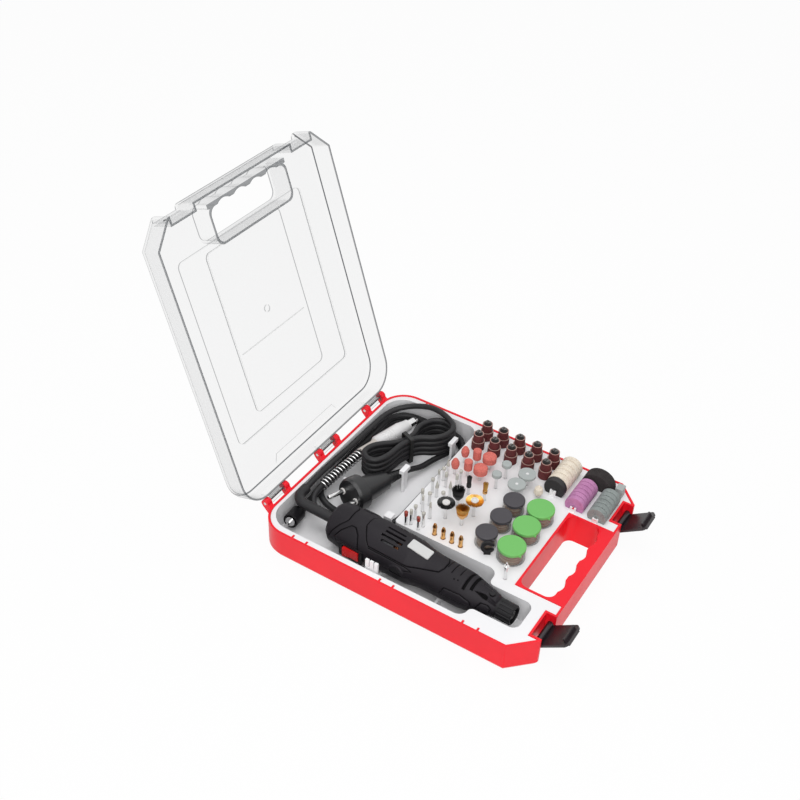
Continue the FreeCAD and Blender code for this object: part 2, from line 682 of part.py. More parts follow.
def build_base():
    outer = prism(outline(case_corners(0.0, False)), FOOT_ROUND, CASE_HEIGHT)
    foot = Part.makeLoft([outline(case_corners(FOOT_ROUND * 0.6, False)),
                          outline(case_corners(0.0, False)).translated(Vector(0, 0, FOOT_ROUND))], True, True)
    shell = outer.fuse(foot)
    for side in (-1.0, 1.0):
        half = LATCH_RECESS_WIDTH / 2.0
        shell = shell.cut(block(side * LATCH_OFFSET - half, side * LATCH_OFFSET + half, -HALF_DEPTH - 1.0,
                                RECESS_BACK, -1.0, CASE_HEIGHT + 1.0))
    cavity = prism(outline(case_corners(CASE_WALL)), CASE_WALL, CASE_HEIGHT + 1.0)
    keep = block(-HOLE_HALF - CASE_WALL, HOLE_HALF + CASE_WALL, -HALF_DEPTH - 1.0, HOLE_REAR + CASE_WALL,
                 0.0, CASE_HEIGHT + 2.0)
    shell = shell.cut(cavity.cut(keep))
    shell = shell.cut(handle_hole(0.0, -1.0, CASE_HEIGHT + 1.0))
    pocket_depth = CASE_HEIGHT - CASE_WALL
    bar_front = -HALF_DEPTH + CASE_WALL + FOOT_ROUND * 0.6
    bar_back = HOLE_FRONT - GRIP_DEPTH - CASE_WALL
    bar_half = HOLE_HALF - CASE_WALL
    shell = shell.cut(block(-bar_half, bar_half, bar_front, bar_back, -1.0, pocket_depth))
    extras = []
    for centre in HINGE_CENTRES:
        for side in (-1.0, 1.0):
            ear_middle = centre + side * (HINGE_GROUP_WIDTH - HINGE_EAR_WIDTH) / 2.0
            x0 = ear_middle - HINGE_EAR_WIDTH / 2.0
            ear = rod(Vector(x0, HINGE_Y, HINGE_Z), X_AXIS, HINGE_EAR_RADIUS, HINGE_EAR_WIDTH)
            arm = Part.makePolygon([Vector(x0, HALF_DEPTH - CASE_WALL / 2.0, CASE_HEIGHT - 12.0),
                                    Vector(x0, HALF_DEPTH - CASE_WALL / 2.0, CASE_HEIGHT - 1.0),
                                    Vector(x0, HINGE_Y - HINGE_EAR_RADIUS * 0.6, CASE_HEIGHT + 3.0),
                                    Vector(x0, HINGE_Y + HINGE_EAR_RADIUS * 0.7, CASE_HEIGHT - 1.5),
                                    Vector(x0, HALF_DEPTH - CASE_WALL / 2.0, CASE_HEIGHT - 12.0)])
            arm = Part.Face(arm).extrude(X_AXIS * HINGE_EAR_WIDTH)
            bore = rod(Vector(x0 - 1.0, HINGE_Y, HINGE_Z), X_AXIS, PIN_RADIUS, HINGE_EAR_WIDTH + 2.0)
            extras.append(ear.fuse(arm).cut(bore))
    shell = join([shell] + extras)
    for side in (-1.0, 1.0):
        start = side * LATCH_OFFSET - LATCH_RECESS_WIDTH / 2.0 - PIN_SEAT
        shell = shell.cut(rod(Vector(start, -HALF_DEPTH + LATCH_PIVOT_INSET, LATCH_PIVOT_HEIGHT), X_AXIS,
                              PIN_RADIUS, LATCH_RECESS_WIDTH + 2.0 * PIN_SEAT))
    low = CASE_HEIGHT - SNAP_TAB_HEIGHT
    high = CASE_HEIGHT - SNAP_TAB_BELOW
    inner = HALF_WIDTH - CASE_WALL - SNAP_TAB_REACH
    outer = HALF_WIDTH - CASE_WALL * 0.5
    tabs = []
    for y in SNAP_TAB_Y:
        tabs.append(block(-outer, -inner, y - SNAP_TAB_HALF, y + SNAP_TAB_HALF, low, high))
        tabs.append(block(inner, outer, y - SNAP_TAB_HALF, y + SNAP_TAB_HALF, low, high))
    return join([shell] + tabs)


def lid_panel(side, front, rear, corner):
    """A plate of the lid's panel, from its distances to the lid's sides."""
    x = HALF_WIDTH - side
    y0 = front - HALF_DEPTH
    y1 = HALF_DEPTH - rear
    return prism(outline([(-x, y0, corner), (x, y0, corner), (x, y1, corner), (-x, y1, corner)]), 0.0,
                 LID_PANEL_STEP)


def lid_marks(high):
    """Shallow marks in the lid's outer face: a crease, the round gate mark and the recess by the hinge."""
    half = HALF_WIDTH - WIDE_PANEL_IN - PANEL_SIDE_BAND - PANEL_CORNER
    y = HALF_DEPTH - CREASE_FROM_REAR
    crease = block(-half, half, y, y + CREASE_WIDTH, high - CREASE_DEPTH, high + 1.0)
    gate = tube(Vector(0, HALF_DEPTH - GATE_FROM_REAR, high - CREASE_DEPTH), Z_AXIS, GATE_RADIUS,
                GATE_RADIUS - CREASE_WIDTH, CREASE_DEPTH + 1.0)
    start = HALF_DEPTH - REAR_RECESS_LENGTH
    wide = REAR_RECESS_HALF + REAR_RECESS_FLARE
    recess = prism(outline([(-REAR_RECESS_HALF, start, 0), (REAR_RECESS_HALF, start, 0),
                            (wide, HALF_DEPTH + 1.0, 0), (-wide, HALF_DEPTH + 1.0, 0)]),
                   high - REAR_RECESS_DEPTH, high + 1.0)
    return crease, gate, recess


def build_lid():
    """The lid, made closed and then turned open about the hinge."""
    low = CASE_HEIGHT + FIT_GAP
    high = low + LID_DEPTH
    outer = prism(outline(case_corners(0.0, False)), low, high)
    outer = outer.makeFillet(LID_ROUND, [e for e in outer.Edges if e.BoundBox.ZMin > high - 1e-3])
    inner = prism(outline(case_corners(LID_WALL, False)), low - 5.0, high - LID_WALL)
    inner = inner.makeFillet(LID_ROUND - LID_WALL,
                             [e for e in inner.Edges if e.BoundBox.ZMin > high - LID_WALL - 1e-3])
    notch_back = -HALF_DEPTH + LID_NOTCH_DEPTH
    hole = handle_hole(0.0, low - 1.0, high + 1.0)
    keep = handle_hole(LID_WALL, low - 6.0, high + 1.0)
    keep = keep.fuse(block(-HOLE_HALF - LID_WALL, HOLE_HALF + LID_WALL, HOLE_FRONT - GRIP_DEPTH - LID_WALL,
                           HOLE_FRONT, low - 6.0, high + 1.0))
    for side in (-1.0, 1.0):
        middle = side * LATCH_OFFSET
        half = LATCH_RECESS_WIDTH / 2.0
        notch = block(middle - half, middle + half, -HALF_DEPTH - 1.0, notch_back, low - 1.0, high + 1.0)
        hole = hole.fuse(notch)
        keep = keep.fuse(block(middle - half - LID_WALL, middle + half + LID_WALL, -HALF_DEPTH - 1.0,
                               notch_back + LID_WALL, low - 6.0, high + 1.0))
    panel_wide = lid_panel(WIDE_PANEL_IN, PANEL_FRONT, PANEL_REAR, PANEL_CORNER)
    panel_small = lid_panel(WIDE_PANEL_IN + PANEL_SIDE_BAND, PANEL_FRONT + PANEL_FRONT_BAND,
                            PANEL_REAR + PANEL_REAR_BAND, PANEL_CORNER)
    panels = panel_wide.cut(panel_small)
    shell = outer.cut(inner.cut(keep)).cut(hole)
    shell = shell.cut(panels.translated(Vector(0, 0, high - LID_PANEL_STEP)))
    shell = shell.fuse(panels.translated(Vector(0, 0, high - LID_WALL - LID_PANEL_STEP)))
    for mark in lid_marks(high):
        shell = shell.cut(mark)
    extras = []
    for side in (-1.0, 1.0):
        half = LATCH_CATCH_WIDTH / 2.0
        extras.append(block(side * LATCH_OFFSET - half, side * LATCH_OFFSET + half,
                            notch_back - LATCH_CATCH_REACH, notch_back + 0.2,
                            LATCH_CATCH_TOP - LATCH_CATCH_HEIGHT, LATCH_CATCH_TOP))
    knuckle_half = HINGE_GROUP_WIDTH / 2.0 - HINGE_EAR_WIDTH - FIT_GAP
    for centre in HINGE_CENTRES:
        x0 = centre - knuckle_half
        arm = Part.makePolygon([Vector(x0, HALF_DEPTH - LID_WALL / 2.0, low + 0.5),
                                Vector(x0, HALF_DEPTH - LID_WALL / 2.0, low + 11.0),
                                Vector(x0, HINGE_Y + HINGE_EAR_RADIUS * 0.7, HINGE_Z + 2.6),
                                Vector(x0, HINGE_Y - HINGE_EAR_RADIUS * 0.5, HINGE_Z - 1.2),
                                Vector(x0, HALF_DEPTH - LID_WALL / 2.0, low + 0.5)])
        arm = Part.Face(arm).extrude(X_AXIS * (2.0 * knuckle_half))
        knuckle = rod(Vector(x0, HINGE_Y, HINGE_Z), X_AXIS, HINGE_EAR_RADIUS, 2.0 * knuckle_half)
        extras.append(knuckle.fuse(arm))
    shell = join([shell] + extras)
    for centre in HINGE_CENTRES:
        shell = shell.cut(rod(Vector(centre - HINGE_GROUP_WIDTH / 2.0, HINGE_Y, HINGE_Z), X_AXIS,
                              PIN_RADIUS + PIN_CLEARANCE, HINGE_GROUP_WIDTH))
    shell.rotate(Vector(0, HINGE_Y, HINGE_Z), X_AXIS, -LID_OPEN_ANGLE)
    return shell


def build_latch(side):
    pivot_y = -HALF_DEPTH + LATCH_PIVOT_INSET
    x0 = side * LATCH_OFFSET - LATCH_WIDTH / 2.0
    x1 = side * LATCH_OFFSET + LATCH_WIDTH / 2.0
    barrel_radius = PIN_RADIUS + 1.4
    barrel = rod(Vector(x0, pivot_y, LATCH_PIVOT_HEIGHT), X_AXIS, barrel_radius, LATCH_WIDTH)
    plate_inner = pivot_y - barrel_radius + 1.0
    plate_outer = plate_inner - LATCH_THICKNESS
    top = LATCH_PIVOT_HEIGHT + LATCH_LENGTH
    plate = block(x0, x1, plate_outer, plate_inner, LATCH_PIVOT_HEIGHT - 1.0, top)
    rounded = [e for e in plate.Edges if abs(e.BoundBox.YLength - LATCH_THICKNESS) < 1e-3
               and e.BoundBox.ZMin > top - 1e-3]
    plate = plate.makeFillet(4.0, rounded)
    hook_bottom = LATCH_CATCH_TOP + 1.0
    hook = block(x0 + 4.0, x1 - 4.0, plate_inner - 0.2, pivot_y + 1.4, hook_bottom, hook_bottom + 2.0)
    ribs = []
    for i in range(3):
        z = LATCH_PIVOT_HEIGHT + 9.0 + 5.0 * i
        ribs.append(block(x0 + 5.0, x1 - 5.0, plate_outer - 0.7, plate_outer + 0.2, z, z + 1.6))
    finger = block(x0 + 4.0, x1 - 4.0, plate_outer - 1.6, plate_outer + 0.2, top - 3.0, top - 0.6)
    latch = join([barrel, plate, hook, finger] + ribs)
    latch = latch.cut(rod(Vector(x0 - 1.0, pivot_y, LATCH_PIVOT_HEIGHT), X_AXIS, PIN_RADIUS + PIN_CLEARANCE,
                          LATCH_WIDTH + 2.0))
    latch.rotate(Vector(0, pivot_y, LATCH_PIVOT_HEIGHT), X_AXIS, LATCH_OPEN_ANGLE)
    return latch


def build_case_pins():
    pins = [rod(Vector(c - HINGE_GROUP_WIDTH / 2.0, HINGE_Y, HINGE_Z), X_AXIS, PIN_RADIUS, HINGE_GROUP_WIDTH)
            for c in HINGE_CENTRES]
    for side in (-1.0, 1.0):
        start = side * LATCH_OFFSET - LATCH_RECESS_WIDTH / 2.0 - PIN_SEAT
        pin_start = Vector(start, -HALF_DEPTH + LATCH_PIVOT_INSET, LATCH_PIVOT_HEIGHT)
        pins.append(rod(pin_start, X_AXIS, PIN_RADIUS, LATCH_RECESS_WIDTH + 2.0 * PIN_SEAT))
    return pins


def well(corners, floor, grow):
    """A tray well: its hollow, or with grow the hollow's outer skin."""
    wire = outline(corners)
    if grow:
        wire = wire.makeOffset2D(grow)
    return prism(wire, floor, TRAY_TOP + (0.0 if grow else 5.0))


def stack_trough(x0, x1, y, z, radius):
    """A trough that holds a row of wheels on a lengthwise arbor."""
    clear = radius + TROUGH_GAP
    hollow = rod(Vector(x0 - TROUGH_GAP, y, z), X_AXIS, clear, x1 - x0 + 2.0 * TROUGH_GAP)
    return hollow, (x0 - TROUGH_GAP, x1 + TROUGH_GAP, y - clear, y + clear, z - clear)


def build_tray():
    inset = CASE_WALL + FIT_GAP
    plate_low = TRAY_TOP - TRAY_PLATE
    plate = prism(outline(case_corners(inset)), plate_low, TRAY_TOP)
    plate = plate.cut(block(-HOLE_HALF - inset, HOLE_HALF + inset, -HALF_DEPTH, HOLE_REAR + inset,
                            0.0, TRAY_TOP + 1.0))
    floor = TRAY_FLOOR + TRAY_WALL
    outer_x = HALF_WIDTH - inset - FLANGE_WIDTH
    rear_y = HALF_DEPTH - inset - REAR_FLANGE
    rear_round = REAR_CORNER_RADIUS - inset - REAR_FLANGE
    lean = math.tan(math.radians(-90.0 - TOOL_YAW))
    nose_x = TOOL_REAR_X - lean * (TOOL_REAR_Y - (NOSE_STEP_Y + TOOL_WELL_FRONT) / 2.0)
    nose_half = NOSE_WELL_WIDTH / 2.0
    wells = [([(-outer_x, NOSE_STEP_Y, 9), (nose_x - nose_half, NOSE_STEP_Y, 5),
               (nose_x - nose_half, TOOL_WELL_FRONT, 8), (nose_x + nose_half, TOOL_WELL_FRONT, 8),
               (nose_x + nose_half, NOSE_STEP_Y, 5), (TOOL_WELL_RIGHT, NOSE_STEP_Y, 9),
               (TOOL_WELL_RIGHT, DECK_EDGE_Y, 4), (outer_x, DECK_EDGE_Y, 12),
               (outer_x, rear_y, rear_round), (-outer_x, rear_y, rear_round)], floor)]
    skins = [well(corners, bottom - TRAY_WALL, TRAY_WALL) for corners, bottom in wells]
    hollows = [well(corners, bottom, 0.0) for corners, bottom in wells]
    for spots, radius in ((SMALL_POTS, SMALL_POT_RADIUS), (LARGE_POTS, LARGE_POT_RADIUS)):
        for x, y in [deck_place(spot) for spot in spots]:
            seat = radius + FIT_GAP
            outer = seat + TRAY_WALL
            skins.append(rod(Vector(x, y, POT_FLOOR - TRAY_WALL), Z_AXIS, outer, TRAY_WALL + 0.5))
            hollows.append(rod(Vector(x, y, POT_FLOOR), Z_AXIS, seat, 8.0))
    for x0, x1, y, z, radius in WHEEL_ROWS:
        hollow, extent = stack_trough(x0, x1, y, z, radius)
        gx0, gx1, gy0, gy1, gz = extent
        skins.append(block(gx0 - TRAY_WALL, gx1 + TRAY_WALL, gy0 - TRAY_WALL, gy1 + TRAY_WALL,
                           gz - TRAY_WALL, plate_low + 0.5))
        hollows.append(hollow)
        hollows.append(rod(Vector(x0 - ARBOR_END, y, z), X_AXIS, SHANK_RADIUS, x1 - x0 + 2.0 * ARBOR_END))
    inside = prism(outline(case_corners(inset)), 0.0, TRAY_TOP)
    inside = inside.cut(block(-HOLE_HALF - inset, HOLE_HALF + inset, -HALF_DEPTH, HOLE_REAR + inset,
                              0.0, TRAY_TOP + 1.0))
    body = join([plate] + skins).common(inside)
    for hollow in hollows:
        body = body.cut(hollow)
    arbor_blocks = []
    for x0, x1, y, z, radius in WHEEL_ROWS:
        for x in (x0 - ARBOR_END, x1 + ARBOR_END - ARBOR_BLOCK):
            block_half = 2.0 * SHANK_RADIUS
            arbor_block = block(x, x + ARBOR_BLOCK, y - block_half, y + block_half, plate_low, z)
            arbor_blocks.append(arbor_block.cut(rod(Vector(x - 1.0, y, z), X_AXIS, SHANK_RADIUS, 4.0)))
    posts = []
    for x, y, height, cap_half, cap_depth, stem_half in TRAY_POSTS:
        top = floor + height
        posts.append(block(x - stem_half, x + stem_half, y - POST_HALF, y + POST_HALF, floor - 0.5, top))
        posts.append(block(x - cap_half, x + cap_half, y - cap_depth, y + cap_depth, top - POST_CAP, top))
    cradle = tool_envelope(CRADLE_GAP)
    for distance in CRADLE_FROM_REAR:
        y = TOOL_REAR_Y - distance
        rib = block(-outer_x - 0.4, TOOL_WELL_RIGHT + 0.4, y - 1.2, y + 1.2,
                    floor - 0.5, floor + CRADLE_HEIGHT)
        posts.append(rib.cut(cradle))
    comb = []
    comb_x = -outer_x + TRAY_WALL
    comb_y = TOOL_REAR_Y - COMB_FROM_REAR
    comb_reach = COMB_PITCH + COMB_HALF
    comb.append(block(comb_x, comb_x + COMB_THICK, comb_y - comb_reach, comb_y + comb_reach,
                      floor - 0.5, TRAY_TOP + 1.0))
    for i in (-1.0, 0.0, 1.0):
        y = comb_y + i * COMB_PITCH
        comb.append(block(comb_x, comb_x + COMB_THICK, y - COMB_HALF, y + COMB_HALF, TRAY_TOP,
                          TRAY_TOP + COMB_ABOVE))
    body = join([body] + arbor_blocks + posts + comb)
    for x, y, radius in shank_places():
        hole = rod(Vector(x, y, plate_low - 3.0), Z_AXIS, radius + SHANK_HOLE_GAP, TRAY_PLATE + 6.0)
        body = body.cut(hole)
    for y in SNAP_TAB_Y:
        for side in (-1.0, 1.0):
            x = side * HALF_WIDTH
            reach = CASE_WALL + SNAP_TAB_REACH + FIT_GAP
            half = SNAP_TAB_HALF + FIT_GAP
            body = body.cut(block(min(x, x - side * reach), max(x, x - side * reach), y - half, y + half,
                                  plate_low - 7.0, TRAY_TOP + 1.0))
    return body


def shank_places():
    """Every hole in the deck for an upright shank, as x, y and radius."""
    spots = [(column, row) for column in DRUM_COLUMNS for row in DRUM_ROWS]
    for group in (BULLET_STONES, CYLINDER_STONES, DISC_STONES, GREY_STONES, GREY_DISCS, PENCIL_BRUSHES,
                  CUP_BRUSHES, WHEEL_BRUSHES, RED_BITS, DIAMOND_BURRS, (SCREW_MANDREL, FELT_BOB)):
        spots += group
    places = [(*deck_place(spot), SHANK_RADIUS) for spot in spots]
    places += [(*deck_place(spot), COLLET_RADIUS) for spot in COLLETS]
    return places


# The housing's outline as shares of its length and as radii
HOUSING_OUTLINE = (
    (0.0, 17.5), (0.0168, 20.0), (0.067, 21.2), (0.1676, BODY_RADIUS), (0.2793, BODY_RADIUS - 0.1),
    (0.4916, 21.3), (0.5587, 19.0), (0.5922, 18.3), (0.8045, 17.5), (0.8492, 16.3), (0.8939, 14.4),
    (0.9385, 12.3), (0.9777, NOSE_RADIUS + 0.6), (1.0, NOSE_RADIUS + 0.2),
)
HOUSING_PROFILE = [(share * HOUSING_LENGTH, radius) for share, radius in HOUSING_OUTLINE]


def tool_placement():
    return Placement(Vector(TOOL_REAR_X, TOOL_REAR_Y, TOOL_AXIS_HEIGHT), Rotation(Vector(0, 0, 1), TOOL_YAW))


def tool_envelope(gap):
    grown = [(x, radius + gap) for x, radius in HOUSING_PROFILE]
    grown[0] = (-gap, grown[0][1])
    grown[-1] = (HOUSING_LENGTH + gap, grown[-1][1])
    return placed(lathe(grown), tool_placement())


def ring(x0, x1, outer, inner):
    return tube(Vector(x0, 0, 0), X_AXIS, outer, inner, x1 - x0)


def housing_inside():
    """The hollow of the tool's housing."""
    inner = shrunk(HOUSING_PROFILE, TOOL_WALL)
    inner[0] = (TOOL_WALL, inner[0][1] + 1.0)
    inner[-1] = (HOUSING_LENGTH - 3.0, inner[-1][1])
    return lathe(inner)


def build_housing():
    skin = lathe(HOUSING_PROFILE)
    inside = housing_inside()
    shell = skin.cut(inside)
    carriers = [ring(REAR_BEARING_START, REAR_BEARING_START + BEARING_WIDTH, BODY_RADIUS, BEARING_RADIUS),
                ring(CORE_START + 1.0, CORE_START + 4.0, BODY_RADIUS, STATOR_RADIUS),
                ring(CORE_END - 4.0, CORE_END - 1.0, BODY_RADIUS, STATOR_RADIUS),
                ring(MID_BEARING_START, MID_BEARING_START + BEARING_WIDTH, BODY_RADIUS, BEARING_RADIUS),
                ring(FRONT_BEARING_A, FRONT_BEARING_A + BEARING_WIDTH, BODY_RADIUS, BEARING_RADIUS),
                ring(FRONT_BEARING_B, FRONT_BEARING_B + BEARING_WIDTH, BODY_RADIUS, BEARING_RADIUS)]
    posts = []
    for x, y, head in HOUSING_SCREWS:
        posts.append(rod(Vector(x, y, -BODY_RADIUS), Z_AXIS, SCREW_RADIUS + 2.0, 2.0 * BODY_RADIUS))
    for side in (-1.0, 1.0):
        posts.append(rod(Vector(BRUSH_AXIS_X, side * 13.0, 0), Y_AXIS * side, BRUSH_CAP_RADIUS + 1.2, 9.0))
    tube_outer = LOCK_BUTTON_RADIUS + 1.0
    posts.append(rod(Vector(LOCK_BUTTON_X, 0, LOCK_SEAT_LOW), Z_AXIS, tube_outer, 8.0))
    neck = rod(Vector(HOUSING_LENGTH - 0.5, 0, 0), X_AXIS, NOSE_BORE_RADIUS, NOSE_NECK_LENGTH + 0.5)
    clamp_low = -CLAMP_HALF_HEIGHT
    clamp_end = CLAMP_START + CLAMP_THICK
    posts.append(block(CLAMP_START, clamp_end, -CLAMP_FOOT_HALF, CLAMP_FOOT_HALF, -BODY_RADIUS, clamp_low))
    inner_parts = [part.common(skin) for part in carriers + posts]
    pad = block(LABEL_START, LABEL_END, -LABEL_HALF_WIDTH, LABEL_HALF_WIDTH, 0.0, LABEL_PAD_HEIGHT)
    uprights = [e for e in pad.Edges if abs(e.BoundBox.ZLength - LABEL_PAD_HEIGHT) < 1e-3]
    pad = pad.makeFillet(LABEL_CORNER, uprights)
    pad.rotate(Vector(LABEL_START, 0, LABEL_PAD_HEIGHT), Y_AXIS, LABEL_TILT)
    shell = join([shell, neck, pad.cut(inside)] + inner_parts)
    cuts = [rod(Vector(HOUSING_LENGTH - 4.0, 0, 0), X_AXIS, SPINDLE_RADIUS + 0.7, NOSE_NECK_LENGTH + 6.0),
            rod(Vector(-1.0, 0, 0), X_AXIS, BOOT_RADIUS, TOOL_WALL + 2.0)]
    for x, y, head in HOUSING_SCREWS:
        cuts.append(rod(Vector(x, y, -head - 1.0), Z_AXIS, SCREW_RADIUS, SCREW_LENGTH + 1.0))
        cuts.append(rod(Vector(x, y, -head + SCREW_HEAD_HEIGHT), Z_AXIS * -1.0, SCREW_HEAD_RADIUS, 20.0))
    for side in (-1.0, 1.0):
        cuts.append(rod(Vector(BRUSH_AXIS_X, side * 11.0, 0), Y_AXIS * side, BRUSH_HOLDER_RADIUS, 20.0))
        start = Vector(BRUSH_AXIS_X, side * BRUSH_CAP_START, 0)
        cuts.append(rod(start, Y_AXIS * side, BRUSH_CAP_RADIUS, BODY_RADIUS))
    cuts.append(switch_box())
    cuts.append(rod(Vector(LOCK_BUTTON_X, 0, LOCK_SEAT_LOW + 0.8), Z_AXIS, LOCK_BUTTON_RADIUS + 0.08, 12.0))
    cuts.append(rod(Vector(LOCK_BUTTON_X, 0, LOCK_SEAT_LOW - 1.0), Z_AXIS, LOCK_PIN_RADIUS + 0.1, 6.0))
    for turn in VENT_ANGLES:
        slot = block(VENT_START, VENT_END, -VENT_WIDTH / 2.0, VENT_WIDTH / 2.0, 12.0, 26.0)
        slot.rotate(Vector(0, 0, 0), X_AXIS, turn)
        cuts.append(slot.cut(rod(Vector(0, 0, 0), X_AXIS, STATOR_RADIUS + 0.2, TOOL_LENGTH)))
    for x, right, left in GRIP_LINES:
        cuts.append(cross_slot(x, right, left, GRIP_LINE_HALF, GRIP_BODY_RADIUS - GRIP_LINE_DEPTH))
    for x, right, left in NOSE_SLOTS:
        cuts.append(cross_slot(x, right, left, NOSE_SLOT_HALF, NOSE_BORE_RADIUS))
    for part in cuts:
        shell = shell.cut(part)
    above = block(-5.0, TOOL_LENGTH + 5.0, -40.0, 40.0, 0.0, 40.0)
    below = block(-5.0, TOOL_LENGTH + 5.0, -40.0, 40.0, -40.0, 0.0)
    return shell.common(above), shell.common(below)


def cross_slot(x, right, left, half, floor_radius):
    """A slot that follows the housing's top round from one side to the other."""
    arc = ring(x - half, x + half, BODY_RADIUS, floor_radius)
    return arc.common(block(x - half, x + half, right, left, 0.0, BODY_RADIUS))


def switch_box():
    half = SWITCH_LENGTH / 2.0 + 2.5
    half_width = SWITCH_WIDTH / 2.0 + 1.5
    return block(SWITCH_CENTRE_X - half, SWITCH_CENTRE_X + half, -SWITCH_FACE, -SWITCH_DEEP,
                 SWITCH_HEIGHT - half_width, SWITCH_HEIGHT + half_width)


def build_switch():
    half_length = SWITCH_LENGTH / 2.0
    half_width = SWITCH_WIDTH / 2.0
    body = switch_box()
    bezel = block(SWITCH_CENTRE_X - half_length - 3.6, SWITCH_CENTRE_X + half_length + 3.6, -SWITCH_FACE,
                  -SWITCH_FACE + 1.2, SWITCH_HEIGHT - half_width - 2.6, SWITCH_HEIGHT + half_width + 2.6)
    bezel = bezel.cut(lathe(HOUSING_PROFILE))
    opening = block(SWITCH_CENTRE_X - half_length, SWITCH_CENTRE_X + half_length, -SWITCH_FACE - 1.0,
                    -SWITCH_FACE + 7.0, SWITCH_HEIGHT - half_width, SWITCH_HEIGHT + half_width)
    body = body.fuse(bezel).cut(opening)
    pivot_y = -SWITCH_FACE + ROCKER_PIVOT_DEPTH
    axle = rod(Vector(SWITCH_CENTRE_X, pivot_y, SWITCH_HEIGHT - half_width - 1.2), Z_AXIS, 1.3 + RUNNING_GAP,
               SWITCH_WIDTH + 2.4)
    body = body.cut(axle)
    tip = half_length - 1.2
    profile = [Vector(SWITCH_CENTRE_X - tip, -SWITCH_FACE - 1.9, 0),
               Vector(SWITCH_CENTRE_X, -SWITCH_FACE - 0.8, 0),
               Vector(SWITCH_CENTRE_X + tip, -SWITCH_FACE - 1.9, 0),
               Vector(SWITCH_CENTRE_X + tip, -SWITCH_FACE + 2.2, 0),
               Vector(SWITCH_CENTRE_X + 4.0, pivot_y + 1.8, 0), Vector(SWITCH_CENTRE_X - 4.0, pivot_y + 1.8, 0),
               Vector(SWITCH_CENTRE_X - tip, -SWITCH_FACE + 2.2, 0)]
    profile.append(profile[0])
    face = Part.Face(Part.makePolygon(profile))
    rocker = face.extrude(Z_AXIS * (SWITCH_WIDTH - 0.6))
    rocker.translate(Vector(0, 0, SWITCH_HEIGHT - half_width + 0.3))
    rocker = rocker.fuse(rod(Vector(SWITCH_CENTRE_X, pivot_y, SWITCH_HEIGHT - half_width - 1.0), Z_AXIS, 1.3,
                             SWITCH_WIDTH + 2.0))
    rocker.rotate(Vector(SWITCH_CENTRE_X, pivot_y, 0), Z_AXIS, ROCKER_TILT)
    return body.removeSplitter(), rocker.removeSplitter()


